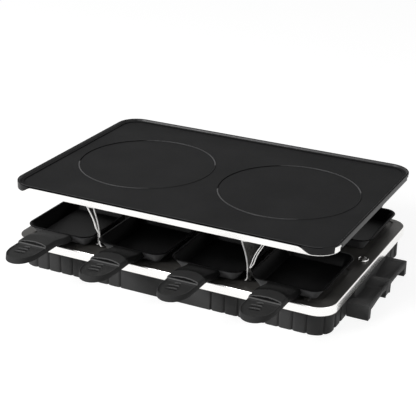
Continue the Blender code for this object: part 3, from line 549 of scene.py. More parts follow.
def loft(rings, joined=False):
    """Skin through rings with equal numbers of points; capped at both ends unless joined end to end."""
    count = len(rings[0])
    points = [point for row in rings for point in row]
    faces = []
    last = len(rings) if joined else len(rings) - 1
    for row in range(last):
        below = row * count
        above = ((row + 1) % len(rings)) * count
        for step in range(count):
            after = (step + 1) % count
            faces.append((below + step, below + after, above + after, above + step))
    if not joined:
        faces.append(tuple(reversed(range(count))))
        top = (len(rings) - 1) * count
        faces.append(tuple(range(top, top + count)))
    return points, faces


def changed(shell, change):
    """The shell with each point passed through a function."""
    points, faces = shell
    return [change(point) for point in points], faces


def mirrored(shell, side, row):
    """The shell turned to side (-1 left, 1 right) and row (-1 front, 1 rear) from the front right."""
    return changed(shell, lambda point: Vector((point.x * side, -point.y * row, point.z)))


def moved(shell, x):
    """The shell shifted along X."""
    return changed(shell, lambda point: point + Vector((x, 0.0, 0.0)))


def new_object(name, data):
    """Object in the scene."""
    made = bpy.data.objects.new(name, data)
    bpy.context.scene.collection.objects.link(made)
    return made


def solid(name, shell):
    """Mesh object made from a shell, with all faces turned outwards."""
    points, faces = shell
    mesh = bpy.data.meshes.new(name)
    mesh.from_pydata(points, [], faces)
    work = bmesh.new()
    work.from_mesh(mesh)
    bmesh.ops.recalc_face_normals(work, faces=work.faces)
    work.to_mesh(mesh)
    work.free()
    return new_object(name, mesh)


def soften(mesh):
    """Smooth shading with the sharp edges kept."""
    mesh.shade_smooth()
    mesh.set_sharp_from_angle(angle=smooth_angle)


def add_piece(name, shell, surface, body, slot, *nodes):
    """One smooth object that rides a body and stands for nodes of the frame."""
    piece = solid(name, shell)
    soften(piece.data)
    piece.data.materials.append(surface)
    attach(piece, body)
    if nodes:
        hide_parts(*nodes)
    return piece


def paint(piece, surface, chosen):
    """Give the chosen faces of a piece another finish."""
    piece.data.materials.append(surface)
    for face in piece.data.polygons:
        if chosen(face):
            face.material_index = len(piece.data.materials) - 1


# Grill plate
def plate_loop(half_x, half_y):
    """Plate outline with points where the skirt changes."""
    sweep_start = half_x - sweep_end_inset - sweep_run
    front = [0.0] + spread(sweep_start, sweep_start + sweep_run, sweep_steps)
    skirt_start = -(half_y - side_skirt_inset)
    side = [skirt_start, skirt_start + point_space, skirt_start + point_space * 4, 0.0]
    turns = spread(0.0, 1.0, corner_steps) + [lobe_turn_share, lobe_turn_share + lobe_turn_step]
    return whole_loop(quadrant(half_x, half_y, plate_corner, front, side, sorted(turns)))


def skirt_ring(loop, half_x, half_y, inset, low_z, raised):
    """Lower edge of the skirt, with its corner lobes and side skirts."""
    lobe_end = cos(pi / 2 * (1 - lobe_turn_share)) + point_space
    sweep_start = half_x - sweep_end_inset - sweep_run
    row = []
    for x, y, nx, ny in loop:
        start = sweep_start + left_sweep_shift if x < 0.0 else sweep_start
        drop = lobe_drop * smooth_step((abs(x) - start) / sweep_run)
        if abs(nx) > lobe_end:
            drop = 0.0
        if abs(nx) > square_on:
            skirt_end = half_y - side_skirt_inset
            drop = side_drop * min(max((skirt_end - abs(y)) / point_space, 0.0), 1.0)
        row.append(Vector((x - nx * inset, y - ny * inset, low_z - drop + raised)))
    return row


def build_plate(surface, shaded_edge_surface, highlight_surface, deep_shade_surface):
    """Non-stick plate with a soft rim."""
    low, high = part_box("top_plate")
    half_x, half_y, crest = high.x, high.y, high.z
    loop = plate_loop(half_x, half_y)
    lip = crest - plate_lip
    slab = crest - plate_rim_rise
    hem = plate_wall / 4
    rows = [
        ring(loop, plate_shelf, slab - plate_slab_drop),
        ring(loop, plate_shelf, lip + hem),
        ring(loop, plate_wall, lip + hem),
        skirt_ring(loop, half_x, half_y, plate_wall, lip, hem),
        skirt_ring(loop, half_x, half_y, plate_wall - hem, lip, 0.0),
        skirt_ring(loop, half_x, half_y, hem, lip, 0.0),
        skirt_ring(loop, half_x, half_y, 0.0, lip, hem),
    ]
    rows += [ring(loop, inset, crest - drop) for inset, drop in edge_round(plate_edge)]
    slope_start = len(rows)
    for share in spread(0.0, 1.0, rim_steps):
        rows.append(ring(loop, mix(rim_flat, rim_foot, share), mix(crest, slab, smooth_step(share))))
    slope_end = len(rows) - 1
    rows += [ring(loop, rim_foot + plate_edge / 2, slab), ring(loop, plate_shelf + plate_edge, slab)]
    plate = add_piece("plate_body", loft(rows), surface, "grill_plate", "nonstick_coat", "top_plate")
    count = len(loop)
    side_row = slope_start - edge_steps - 2
    far_edge = [max(-nx, ny) > rim_turned and ny > -rim_steep for x, y, nx, ny in loop]
    front_edge = [ny < -rim_front for x, y, nx, ny in loop]

    def on_slope(face):
        return slope_start <= face.index // count < slope_end

    def on_front_bend(face):
        return side_row + 2 < face.index // count < slope_start - 1 and front_edge[face.index % count]

    def on_far_edge(face):
        return side_row < face.index // count < slope_start and far_edge[face.index % count]

    def on_front_fold(face):
        in_row = side_row <= face.index // count < side_row + 3
        return in_row and front_edge[face.index % count] and face.center.z > lip

    # Steep sides and rim slopes turned to the right take the coat painted darker as shade.
    paint(plate, shaded_edge_surface, lambda face: abs(face.normal.z) < rim_steep or (
        on_slope(face) and face.normal.x > rim_turned))
    # Rim slopes turned to the light and the front bend take the coat painted lighter as a highlight.
    paint(plate, highlight_surface, lambda face: on_slope(face) and face.normal.x <= rim_turned)
    paint(plate, highlight_surface, on_front_bend)
    # The far rim edges and the front fold take the coat painted near black as shade.
    paint(plate, deep_shade_surface, lambda face: on_far_edge(face) or on_front_fold(face))


def arc_side(face, centre_x):
    """Where a face lies on its ring: 1 at the middle of the arc painted dark as shade, -1 across from it.
    """
    away_x = (face.center.x - centre_x) / ring_radius
    return away_x * cos(ring_dark_turn) + face.center.y / ring_radius * sin(ring_dark_turn)


def build_rings(surface, shaded_edge_surface, highlight_surface, deep_shade_surface):
    """Two raised rings on the plate, painted lighter as a highlight, with an arc painted dark as shade, a
    plain arc across from it and painted shade on the sides turned from the light.
    """
    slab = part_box("top_plate")[1].z - plate_rim_rise
    for side, word in sides:
        middle = side * ring_offset
        rows = []
        for turn in spread(0.0, pi, ring_steps):
            radius = ring_radius + ring_half * cos(turn)
            rows.append(circle(middle, 0.0, radius, slab + ring_rise * sin(turn), ring_sides))
        rows.append(circle(middle, 0.0, ring_radius, slab - ring_rise, ring_sides))
        bead = add_piece("plate_ring_" + word, loft(rows, joined=True), highlight_surface, "grill_plate",
                         "nonstick_coat")
        # The bead is painted lighter as a highlight; one arc is painted dark as shade, the arc across stays
        # plain, and sides turned from the light between them get painted shade.
        paint(bead, surface, lambda face: arc_side(face, middle) < -ring_arc_share)
        paint(bead, deep_shade_surface, lambda face: arc_side(face, middle) > ring_arc_share)
        paint(bead, shaded_edge_surface, lambda face: abs(arc_side(face, middle)) < ring_arc_share and (
            face.normal.x + face.normal.y * ring_lee_slant > ring_lee_share))


# Deck tray
def cut_fields(piece, half_x, half_y, top):
    """Press the fields between the pan rails into the deck."""
    columns = [(index - (pan_count - 1) / 2) * pan_pitch for index in range(pan_count)]
    rails = sorted(column + side * rail_offset for column in columns for side in (-1, 1))
    edges = [rail + side * rail_width / 2 for rail in rails for side in (-1, 1)]
    edges = [-half_x + recess_end, *edges, half_x - recess_end]
    points = []
    faces = []
    far = half_y - recess_edge
    for left, right in zip(edges[0::2], edges[1::2]):
        corner = recess_corner if left == edges[0] or right == edges[-1] else rail_width / 2
        field = rounded((right - left) / 2, (far - recess_mid) / 2, corner, recess_steps)
        rows = []
        for share in spread(0.0, 1.0, recess_steps):
            z = top - recess_depth * (1 - smooth_step(share))
            rows.append(ring(field, recess_depth * (1 - share), z))
        rows.append(ring(field, 0.0, top + recess_depth))
        field_points, field_faces = loft(rows)
        for side in (-1, 1):
            centre = Vector(((left + right) / 2, side * (recess_mid + far) / 2, 0.0))
            start = len(points)
            points += [point + centre for point in field_points]
            faces += [tuple(start + index for index in face) for face in field_faces]
    cutter = solid("fields", (points, faces))
    step = piece.modifiers.new("fields", "BOOLEAN")
    step.operation = "DIFFERENCE"
    step.solver = "EXACT"
    step.object = cutter
    bpy.context.view_layer.update()
    graph = bpy.context.evaluated_depsgraph_get()
    result = bpy.data.meshes.new_from_object(piece.evaluated_get(graph))
    piece.modifiers.clear()
    piece.data = result
    bpy.data.objects.remove(cutter, do_unlink=True)
    soften(result)


def inside_edge(point, half_x, half_y, corner):
    """Distance of a point inside the edge of a rounded rectangle."""
    over_x = abs(point.x) - half_x + corner
    over_y = abs(point.y) - half_y + corner
    if over_x > 0.0 and over_y > 0.0:
        return corner - (over_x * over_x + over_y * over_y) ** 0.5
    return corner - max(over_x, over_y)


def build_tray(surface, shaded_top_surface):
    """Steel deck with a rolled edge and pressed fields."""
    low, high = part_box("deck_tray")
    loop = rounded(high.x, high.y, tray_corner)
    under = high.z - recess_depth - tray_sheet
    hem = tray_sheet / 3
    rows = [
        ring(loop, tray_sheet, under),
        ring(loop, tray_sheet, low.z + hem),
        ring(loop, tray_sheet - hem, low.z),
        ring(loop, hem, low.z),
        ring(loop, 0.0, low.z + hem),
    ]
    rows += [ring(loop, inset, high.z - drop) for inset, drop in edge_round(tray_round, tray_round_steps)]
    rows.append(ring(loop, tray_round * 2, high.z))
    tray = add_piece("tray_sheet", loft(rows), surface, "base", "brushed_steel", "deck_tray")
    cut_fields(tray, high.x, high.y, high.z)
    # The tray's top faces take the deck finish painted dark as shade and dark reflection; the rolled edge
    # keeps the bright steel.
    paint(tray, shaded_top_surface, lambda face: face.normal.z > 0.0 and (
        inside_edge(face.center, high.x, high.y, tray_corner) > tray_round * tray_top_share))


# Base housing
def outline_at(distance, half_x, half_y, corner):
    """Point and normal at a distance along the edge from the middle of the front."""
    straight = half_x - corner
    if distance <= straight:
        return distance, -half_y, 0.0, -1.0
    turn = (distance - straight) / corner
    if turn < pi / 2:
        return straight + corner * sin(turn), -half_y + corner - corner * cos(turn), sin(turn), -cos(turn)
    return half_x, -half_y + corner + distance - straight - corner * pi / 2, 1.0, 0.0


def scallop_marks():
    """Distances along the edge and how deep the outline lies there, 0 to 1."""
    joints = [scallop_first + scallop_pitch * index for index in range(scallop_count + 1)]
    joints += [joints[-1] + corner_scallop, joints[-1] + corner_scallop * 2]
    joints.append(joints[-1] + end_scallop_pitch)
    marks = [(0.0, 0.0), (joints[0] - point_space * 2, 0.0)]
    for left, right in zip(joints, joints[1:]):
        for step in range(scallop_steps):
            share = step / scallop_steps
            marks.append((mix(left, right, share), abs(2 * share - 1) ** scallop_sharp))
    marks += [(joints[-1], 1.0), (joints[-1] + point_space * 2, 0.0)]
    return marks


def housing_loops(half_x, half_y):
    """Ribbed outer loop and the plain loop with the same number of points."""
    plain = []
    ribbed = []
    for distance, share in scallop_marks():
        x, y, nx, ny = outline_at(distance, half_x, half_y, housing_corner)
        depth = scallop_depth * share
        plain.append((x, y, nx, ny))
        ribbed.append((x - nx * depth, y - ny * depth, nx, ny))
    return whole_loop(ribbed), whole_loop(plain)


def build_housing(surface):
    """Ribbed plastic base."""
    low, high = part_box("base_housing")
    ribbed, plain = housing_loops(high.x, high.y)
    edge = housing_foot_edge
    foot = low.z - housing_skirt
    break_z = high.z - housing_plain_top
    rows = [
        ring(plain, housing_wall, high.z - housing_wall),
        ring(plain, housing_wall, foot),
        ring(ribbed, edge, foot),
        ring(ribbed, edge / 3, foot + edge / 3),
        ring(ribbed, 0.0, foot + edge),
        ring(ribbed, 0.0, break_z - housing_fade),
        ring(plain, 0.0, break_z),
        ring(plain, 0.0, high.z - edge),
        ring(plain, edge, high.z),
    ]
    add_piece("housing_shell", loft(rows), surface, "base", "black_plastic", "base_housing")


# Side handles
def grip_section(x0, x1, y, low, wall_low, floor, wall_floor, strip_top, proud, rise, slant):
    """Cross-section of the side handle: lip outside, trough falling inwards, strip on the housing."""
    x1 += proud
    top = grip_top + rise
    edge = grip_edge
    chamfer = edge * chamfer_share
    lip_x = x1 - grip_lip
    trough_x = lip_x - edge * grip_trough_lean
    strip_x = x0 + grip_strip_width
    strip_low = max(wall_floor, min(grip_strip_low, strip_top - grip_strip_foot * 2))
    wall_x = x0 + grip_wall_inset
    points = [
        (x0, wall_low), (mix(x0, x1, 0.5), mix(wall_low, low, 0.5)), (x1 - edge - slant, low),
        (x1 - chamfer - slant, low + chamfer), (x1 - slant, low + edge), (x1, top - edge),
        *((x1 - inset, top - drop) for inset, drop in edge_round(edge, 3)[1:]),
        (lip_x, top), (lip_x - edge * grip_lip_lean, mix(top, floor, 0.25)),
        (lip_x - edge, mix(top, floor, 0.75)), (trough_x, floor),
        (mix(trough_x, strip_x, 0.5), mix(floor, wall_floor, 0.5)),
        (wall_x, wall_floor), (wall_x, strip_low), (strip_x, strip_low),
        (strip_x, strip_top - grip_strip_foot), (strip_x - grip_strip_foot, strip_top), (x0, strip_top),
    ]
    return [Vector((x, y, z)) for x, z in points]


def trough_rise(share):
    """How deep the trough lies between the middle block (0) and the end leg (1)."""
    fall = smooth_step((share - trough_fall_from) / (1 - trough_fall_from))
    return smooth_step(share / trough_run + trough_start) * (1 - trough_fall * fall)


def build_side_handles(surface):
    """Finger handle on each short side of the base."""
    low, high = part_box("side_handle_right")
    x0 = low.x
    x1 = high.x - grip_mid_proud
    half = []
    for share in spread(0.0, 1.0, grip_mid_steps):
        y = grip_mid_leg * share
        swell = 1 - share ** grip_proud_power
        rise = grip_crown * (1 - share ** grip_crown_power)
        floor = mix(grip_top + rise, grip_mid_floor, smooth_step(share * 2 - 1))
        half.append((y, grip_mid_foot, grip_mid_foot, floor, floor, grip_strip_top,
                     grip_mid_proud * swell, rise, grip_slant * swell))
    start = grip_mid_leg + point_space
    end = grip_half_length - grip_end_leg - point_space
    strip_share = (grip_strip_half - start) / (end - start)
    for share in sorted(spread(0.0, 1.0, grip_arch_steps) + [strip_share, strip_share + strip_cut_share]):
        depth = trough_rise(share)
        y = mix(start, end, share)
        under = mix(grip_arch_foot, grip_arch, depth)
        floor = mix(grip_top, under + grip_web, depth)
        wall_floor = mix(grip_top, grip_wall_low + grip_web, depth)
        strip = grip_strip_top if share <= strip_share else wall_floor + grip_strip_foot
        half.append((y, under, grip_wall_low, floor, wall_floor, strip, 0.0, 0.0, 0.0))
    for y in (grip_half_length - grip_end_leg, grip_half_length - grip_edge / 3, grip_half_length):
        inset = grip_edge / 3 if y == grip_half_length else 0.0
        foot = grip_foot + inset
        top = grip_top - inset
        half.append((y, foot, foot, top, top, top + grip_strip_foot, -inset, -inset, 0.0))
    sections = [(-item[0], *item[1:]) for item in reversed(half[1:])] + half
    shell = loft([grip_section(x0, x1, *item) for item in sections])
    for side, word in sides:
        turned = mirrored(shell, side, -1)
        add_piece("grip_" + word, turned, surface, "base", "black_plastic", "side_handle_" + word)


# Pillars
def pillar_front(inner, outer, hem, rise):
    """Front side of the sheet from its inner to its outer edge, with rolled hems and a pressed line."""
    along = outer - inner
    width = along.length
    along = along / width
    ahead = Vector((along.y, -along.x, 0.0))
    line = min(line_inset, width * line_inset_most)
    reach = min(line_half, line * line_half_most)
    last = width - line - reach * web_start
    places = [hem * mark for mark in hem_marks]
    places += spread(min(hem * web_start, last * web_start_most), last, web_steps)
    places += [width - line - reach, width - line, width - line + reach]
    places += [width - hem * mark for mark in reversed(hem_marks)]
    points = []
    for place in places:
        bulge = max(0.0, 1 - (place * 2 / hem - 1) ** 2)
        bulge += max(0.0, 1 - ((width - place) * 2 / hem - 1) ** 2)
        bulge += line_rise * max(0.0, 1 - ((width - line - place) / reach) ** 2)
        points.append(inner + along * place + ahead * (rise * bulge))
    return points, ahead


def pillar_row(inner, outer, hem, rise, raised):
    """Front side and back side of the sheet."""
    fronts, ahead = pillar_front(inner, outer, hem, rise)
    step = ahead * -pillar_sheet + Vector((0.0, 0.0, raised))
    return fronts + [point + step for point in reversed(fronts)]


def tab_row(template, x_middle, y, z, half_width):
    """Level row of the foot tab with as many points as the template's front side."""
    marks = spread(-half_width, half_width, len(template) // 2 - 1)
    fronts = [Vector((x_middle + mark, y, z)) for mark in marks]
    return fronts + [point + Vector((0.0, 0.0, pillar_sheet)) for point in reversed(fronts)]


def flare_shares(height):
    """Shares of the inner and outer edge's flare at a share of the web's height."""
    for (low, *below), (high, *above) in zip(flare_points, flare_points[1:]):
        if height <= high:
            share = (height - low) / (high - low)
            return [mix(first, last, share) for first, last in zip(below, above)]


def pillar_shell():
    """Front right pillar in one sheet."""
    low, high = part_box("pillar_front_right")
    tab_half = neck_half + foot_spread
    x = low.x + tab_half
    web_y = -pillar_front_y
    outer_y = web_y + neck_skew
    sheet = pillar_sheet
    rows = []
    for sheets, share in foot_rows:
        half = neck_half + foot_spread * share
        inner = Vector((x - half, web_y - neck_skew, low.z + sheet * sheets))
        outer = Vector((x + half, outer_y, low.z + sheet * sheets))
        rows.append(pillar_row(inner, outer, hem_low, hem_rise_low, sheet / 4))
    rows.insert(0, tab_row(rows[0], x, outer_y + sheet * 2, low.z, tab_half))
    rows.insert(0, tab_row(rows[0], x, web_y + pillar_tab, low.z, tab_half))
    top = high.z - sheet * 2
    for height in spread(0.0, 1.0, flare_steps):
        inner_share, outer_share = flare_shares(height)
        z = mix(neck_top_z, top, height)
        inner_x = x - neck_half - flare_inner * inner_share
        inner = Vector((inner_x, web_y - neck_skew - flare_forward * inner_share, z))
        outer = Vector((x + neck_half + flare_outer * outer_share, outer_y, z))
        hem = mix(hem_low, hem_high, outer_share)
        rows.append(pillar_row(inner, outer, hem, mix(hem_rise_low, hem_rise_high, outer_share), 0.0))
    inner.z = outer.z = high.z - sheet
    rows.append(pillar_row(inner, outer, hem_high, hem_rise_high, sheet))
    fronts, ahead = pillar_front(inner, outer, hem_high, 0.0)
    reaches = spread(flange_root, flange_reach, len(fronts) - 1)
    ends = [point + ahead * reach for point, reach in zip(fronts, reaches)]
    rows.append(ends + [point + Vector((0.0, 0.0, sheet)) for point in reversed(ends)])
    return loft(rows)


def on_pillar_web(index, side):
    """True for faces that take the painted dark finish: the sheet between the hems, its back and the right
    ones' lower outer edge.
    """
    hem_points = len(hem_marks)
    line_start = hem_points + web_steps + 1
    far_start = line_start + line_points
    front_points = far_start + hem_points
    row, column = divmod(index, front_points * 2)
    flared = row >= len(foot_rows) + 2
    if column < hem_points - 1 or column == front_points * 2 - 1:
        return False
    if far_start <= column < front_points and (flared or side < 0):
        return False
    return not (flared and line_start <= column < far_start - 1)


def build_pillars(surface, dark_web_surface):
    """Two front and two rear pillars, mirror images."""
    shell = pillar_shell()
    for row, depth_word in ((-1, "front"), (1, "rear")):
        for side, word in sides:
            name = depth_word + "_" + word
            pillar = add_piece("pillar_sheet_" + name, mirrored(shell, side, row), surface, "base",
                               "polished_steel", "pillar_" + name)
            # The web, the back and the right ones' lower outer hem are painted dark as reflection and
            # shade; the other hems keep the finish painted bright as a highlight.
            paint(pillar, dark_web_surface, lambda face: on_pillar_web(face.index, side))


# Pilot lamp
def lamp_place(node):
    """Middle, radius, foot and height of a round node."""
    low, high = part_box(node)
    return (low.x + high.x) / 2, (low.y + high.y) / 2, (high.x - low.x) / 2, low.z, high.z - low.z


def build_bezel(surface):
    """Rounded bezel of the lamp."""
    x, y, radius, foot, rise = lamp_place("pilot_lamp_bezel")
    inner = radius * lamp_ring_share
    rows = [circle(x, y, inner, foot, lamp_sides), circle(x, y, radius, foot, lamp_sides)]
    for turn in spread(0.0, pi, lamp_steps):
        away = (radius + inner) / 2 + (radius - inner) / 2 * cos(turn)
        z = foot + rise * mix(lamp_ring_foot, 1.0, sin(turn))
        rows.append(circle(x, y, away, z, lamp_sides))
    add_piece("lamp_ring", loft(rows, joined=True), surface, "base", "polished_steel", "pilot_lamp_bezel")


def build_dome(surface):
    """Dome of the lamp."""
    x, y, radius, foot, rise = lamp_place("pilot_lamp_lens")
    rows = [circle(x, y, radius, foot, lamp_sides)]
    for turn in spread(0.0, pi / 2 - lamp_dome_open, lamp_steps):
        z = foot + rise * mix(lamp_dome_foot, 1.0, sin(turn))
        rows.append(circle(x, y, radius * cos(turn), z, lamp_sides))
    add_piece("lamp_dome", loft(rows), surface, "base", "lamp_lens", "pilot_lamp_lens")


# Pans and pan handles
def pan_shell(low, high):
    """Shallow pan with a node's measures, on the front side and centred on X = 0."""
    loop = rounded((high.x - low.x) / 2, (high.y - low.y) / 2, pan_corner)
    rim = high.z
    base = low.z
    sheet = pan_sheet
    lip = sheet / 2
    deep = pan_flange + pan_slope
    rows = []
    for turn in spread(0.0, pi / 2, pan_round_steps):
        z = base + pan_round * (1 - cos(turn))
        rows.append(ring(loop, deep + pan_round * (1 - sin(turn)), z))
    rows += [ring(loop, pan_flange + sheet * inset, rim - sheet * drop) for inset, drop in pan_outer_lip]
    for turn in spread(-pi / 2, pi / 2, pan_lip_steps):
        rows.append(ring(loop, lip - lip * cos(turn), rim - lip + lip * sin(turn)))
    rows += [ring(loop, pan_flange + sheet * inset, rim - sheet * drop) for inset, drop in pan_inner_lip]
    inner = deep + sheet * pan_wall_share
    for turn in spread(0.0, pi / 2, pan_round_steps):
        z = base + sheet + pan_round * (1 - sin(turn))
        rows.append(ring(loop, inner + pan_round * (1 - cos(turn)), z))
    return changed(loft(rows), lambda point: point - Vector((0.0, abs(low.y + high.y) / 2, 0.0)))


def handle_half(away):
    """Half width of the pan handle at a distance from the middle of the grill."""
    if away < tip_start:
        return mix(root_half, pad_half, smooth_step((away - root_away) / ramp_run))
    share = min((away - tip_start) / (tip_away - tip_start), 1.0)
    return pad_half * max(1 - share * share, tip_blunt) ** tip_power


def ridge_relief(away, x):
    """Height of the thumb ridges (1) and of the hollows in front of them (below 0)."""
    relief = 0.0
    for near, start, end in thumb_ridges:
        reach = (end - start) / 2
        away_x = x - (start + end) / 2
        share = away_x / reach
        line = near - ridge_slant * share + ridge_bow * share ** 2
        fade = smooth_step((reach - abs(away_x)) / ridge_fade)
        relief += fade * exp(-((away - line) / ridge_half) ** 2)
        relief -= fade * groove_share * exp(-((away - line - ridge_groove) / ridge_half) ** 2)
    return relief


def handle_arcs(x):
    """Where the block and its ledge begin, at a distance from the handle's middle line."""
    across = min(abs(x) / pad_half, 1.0)
    bow = 1 - across * across
    return block_arc - block_arc_bow * bow, ledge_arc - ledge_arc_bow * bow


def handle_top(away, x):
    """Height of the pan handle's top at a distance from the middle and from its own middle line."""
    block_edge, ledge_edge = handle_arcs(x)
    z = mix(seat_z + pad_rim, block_z, smooth_step((away - root_away) / (block_edge - root_away)))
    z -= (block_z - ledge_z) * smooth_step((away - ledge_edge) / riser_run)
    z -= (ledge_z - pad_z) * smooth_step((away - pad_edge) / riser_run)
    side_room = handle_half(away) - abs(x) - pad_rim * 2
    inside = min(away - pad_edge - pad_rim * 3, side_room, tip_away - pad_rim * 4 - away)
    return z - pad_dish * smooth_step(inside / pad_rim) + ridge_rise * ridge_relief(away, x)


def handle_tone(away, x, painted_shade):
    """Tone of the handle's top: 1 for a painted highlight on step edges and ridge crests, -1 for painted
    shade in hollows, on the ledge and, where asked, on the root.
    """
    block_edge, ledge_edge = handle_arcs(x)
    relief = ridge_relief(away, x)
    if away < block_edge:
        return -1 if painted_shade else 0
    on_step = abs(away - ledge_edge) < arc_line_half or pad_edge < away < pad_edge + riser_run
    if on_step or relief > highlight_relief:
        return 1
    if ledge_edge < away < pad_edge or relief < shade_relief:
        return -1
    return 0


def handle_row(away, under):
    """Ring round the pan handle: up the left side, across the top and down the right side."""
    half = handle_half(away)
    share = min(max((away - tip_start) / (tip_away - tip_start), 0.0), 1.0)
    lean = tip_lean * share ** 3
    edge = min(handle_edge, half * chamfer_share)
    chamfer = edge * chamfer_share
    top_half = half * (1 - tip_taper * share)
    marks = [mark * (top_half - edge) for mark in spread(-1.0, 1.0, handle_columns)]
    tops = [(x, handle_top(away, x)) for x in marks]
    left_z = tops[0][1]
    right_z = tops[-1][1]
    points = [(-half + edge, under), (-half + chamfer, under + chamfer), (-half, under + edge)]
    points += [(-top_half, left_z - edge), (-top_half + chamfer, left_z - chamfer)] + tops
    points += [(top_half - chamfer, right_z - chamfer), (top_half, right_z - edge)]
    points += [(half, under + edge), (half - chamfer, under + chamfer), (half - edge, under)]
    row = []
    for x, z in points:
        rise = min(max((z - under) / (pad_z - under), 0.0), 1.0)
        row.append(Vector((x, -away + lean * rise, z)))
    return row


def handle_shell():
    """Pan handle on the front side, centred on X = 0."""
    places = spread(root_away, root_away + ramp_run, ramp_steps)
    for start, end, steps in handle_runs:
        places += spread(start, end, steps)
    tip_run = tip_away - tip_start
    first_share = (places[-1] - tip_start) / tip_run
    for turn in spread(tip_first_turn, pi / 2, tip_steps):
        places.append(tip_start + tip_run * mix(first_share, 1.0, sin(turn)))
    wall = []
    for point in handle_row(places[0], foot_z):
        low = min(point.z, seat_z)
        slant = root_away - wall_gap - pan_slope * (seat_z - low) / wall_height
        wall.append(Vector((point.x, -slant, low)))
    rows = [wall]
    for away in places:
        under = mix(foot_z, low_z, smooth_step((away - root_away) / ramp_run))
        rows.append(handle_row(away, under))
    return loft(rows)


def build_pans(coat, outside, moulding, painted_highlight, painted_shade):
    """Eight pans with their handles."""
    handle = handle_shell()
    for number in range(1, pan_count * 2 + 1):
        node = "pan_" + str(number)
        low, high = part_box(node)
        row = -1 if high.y < 0 else 1
        x = (low.x + high.x) / 2
        body = "pan_body_" + str(number)
        shell = moved(mirrored(pan_shell(low, high), 1, row), x)
        pan = add_piece("pan_shell_" + str(number), shell, outside, body, "nonstick_coat", node)
        inner_faces = len(pan.data.polygons) * pan_inner_share
        # The inside takes the black coat; the outside stays painted grey as light on the walls.
        paint(pan, coat, lambda face: face.index > inner_faces)
        shell = moved(mirrored(handle, 1, row), x)
        grip = add_piece("pan_grip_" + str(number), shell, moulding, body, "black_plastic",
                         "pan_handle_" + str(number))

        def toned(face, tone):
            away = abs(face.center.y)
            seen = face.normal.z > top_facing or away < root_end
            return seen and handle_tone(away, face.center.x - x, number > 1) == tone

        # Step edges and ridge crests take a painted highlight; hollows, the ledge and the roots of all but
        # the first handle take painted shade.
        paint(grip, painted_highlight, lambda face: toned(face, 1))
        paint(grip, painted_shade, lambda face: toned(face, -1))


# Studio
def build_camera():
    """Camera at the photographed angle."""
    level = Vector((cos(camera_yaw), sin(camera_yaw), 0.0))
    ahead = Vector((-level.y, level.x, 0.0))
    aim = ahead * cos(camera_pitch) - Vector((0.0, 0.0, sin(camera_pitch)))
    upright = level.cross(aim)
    side = level * cos(camera_roll) + upright * sin(camera_roll)
    head = upright * cos(camera_roll) - level * sin(camera_roll)
    data = bpy.data.cameras.new("camera")
    data.sensor_width = sensor_width
    data.lens = sensor_width * focal_share
    data.clip_end = view_reach
    made = new_object("camera", data)
    turn = Matrix((side, head, -aim)).transposed().to_4x4()
    made.matrix_world = Matrix.Translation(camera_place) @ turn
    bpy.context.scene.camera = made
    bpy.context.scene.view_settings.view_transform = "Standard"


def add_lamp(name, place, size, power):
    """Soft square lamp aimed at the middle of the grill."""
    data = bpy.data.lights.new(name, "AREA")
    data.size = size
    data.energy = power
    made = new_object(name, data)
    aim = Vector(lamp_aim) - Vector(place)
    made.rotation_euler = aim.to_track_quat("-Z", "Y").to_euler()
    made.location = place


def white_to_camera(tree, lit, white, output):
    """Show plain white to camera, glossy and clear rays, the lit shader to all others."""
    path = tree.nodes.new("ShaderNodeLightPath")
    seen = path.outputs["Is Camera Ray"]
    for ray in ("Is Glossy Ray", "Is Transmission Ray"):
        either = add_node(tree, "ShaderNodeMath", {0: seen, 1: path.outputs[ray]})
        either.operation = "MAXIMUM"
        seen = either.outputs[0]
    mixed = add_node(tree, "ShaderNodeMixShader", {0: seen, 1: lit, 2: white})
    tree.links.new(mixed.outputs[0], output)


def build_world():
    """Even pale light, seen as white."""
    world = bpy.data.worlds.new("studio")
    bpy.context.scene.world = world
    world.use_nodes = True
    tree = world.node_tree
    lit = tree.nodes["Background"]
    white = tree.nodes.new("ShaderNodeBackground")
    for glow, strength in ((lit, world_strength), (white, 1.0)):
        glow.inputs["Color"].default_value = (1.0, 1.0, 1.0, 1.0)
        glow.inputs["Strength"].default_value = strength
    output = tree.nodes["World Output"].inputs["Surface"]
    white_to_camera(tree, lit.outputs[0], white.outputs[0], output)


def build_floor():
    """Pale floor that keeps a soft shadow."""
    mesh = bpy.data.meshes.new("floor")
    corners = [(-1, -1), (1, -1), (1, 1), (-1, 1)]
    mesh.from_pydata([(x * floor_half, y * floor_half, 0.0) for x, y in corners], [], [(0, 1, 2, 3)])
    floor = new_object("floor", mesh)
    made, tree, shader = material("floor_paper", (0.86,) * 3, 0.9, 0.0, 0.1)
    glow = add_node(tree, "ShaderNodeEmission", {"Strength": floor_glow})
    thin = add_node(tree, "ShaderNodeBsdfDiffuse", {"Color": (floor_tone, floor_tone, floor_tone, 1.0)})
    both = add_node(tree, "ShaderNodeAddShader", {0: thin.outputs[0], 1: glow.outputs[0]})
    output = tree.nodes["Material Output"].inputs["Surface"]
    white_to_camera(tree, shader.outputs[0], both.outputs[0], output)
    mesh.materials.append(made)


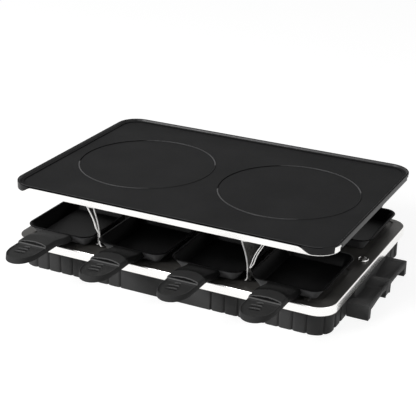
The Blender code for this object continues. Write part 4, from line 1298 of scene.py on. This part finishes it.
# Dressing of the frame's own nodes
def dress_nodes(nodes, coat, moulding, bright, brushed, deck):
    """Give each node of the frame its finish, by the longest start of its name that is listed."""
    finishes = (
        (coat, "top_plate", "pan_"),
        (moulding, "pan_handle", "base_housing", "bottom_cover", "side_handle", "pilot_lamp", "cord_gland"),
        (bright, "heater_frame", "pillar_", "element_strap", "lead_conduit"),
        (brushed, "deck_tray"),
        (deck, "pillar_screw"),
        (zinc(), "pan_rivet", "side_handle_screw", "thermal_cutout"),
        (ceramic(), "element_insulator", "terminal_block"),
        (sleeve(), "lamp_lead", "supply_lead"),
        (rubber(), "rubber_foot"),
        (lens(), "pilot_lamp_lens"),
        (sheath(), "heating_element"),
    )
    by_start = {start: surface for surface, *starts in finishes for start in starts}
    for name, node in nodes.items():
        start = max((start for start in by_start if name.startswith(start)), key=len)
        node.data.materials.clear()
        node.data.materials.append(by_start[start])


def main():
    """Whole scene."""
    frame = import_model()
    build_camera()
    build_world()
    build_floor()
    add_lamp("key_lamp", key_place, key_size, key_power)
    add_lamp("fill_lamp", fill_place, fill_size, fill_power)
    coat = nonstick()
    moulding = plastic("base_plastic", 0.048, 0.056)
    grips = plastic("grip_plastic", 0.088, 0.100)
    soft = plastic("handle_plastic", 0.029, 0.036)
    # Lighter and darker copies of the handle plastic for painted highlights and painted shade.
    painted_highlight = plastic("highlight_plastic", 0.085, 0.100)
    painted_shade = plastic("shade_plastic", 0.005, 0.008)
    deck = deck_top_shaded()
    bright = polished_steel()
    brushed = brushed_steel()
    dress_nodes(frame["nodes"], coat, moulding, bright, brushed, deck)
    plate_coats = (coat, shaded_coat_edge(), highlight_coat(), deep_shade_coat())
    build_plate(*plate_coats)
    build_rings(*plate_coats)
    build_tray(brushed, deck)
    build_housing(moulding)
    build_side_handles(grips)
    build_pillars(hem_steel_painted_bright(), pillar_web_painted_dark())
    build_bezel(bright)
    build_dome(lens())
    build_pans(pan_coat(), pan_outside_lit(), soft, painted_highlight, painted_shade)


main()
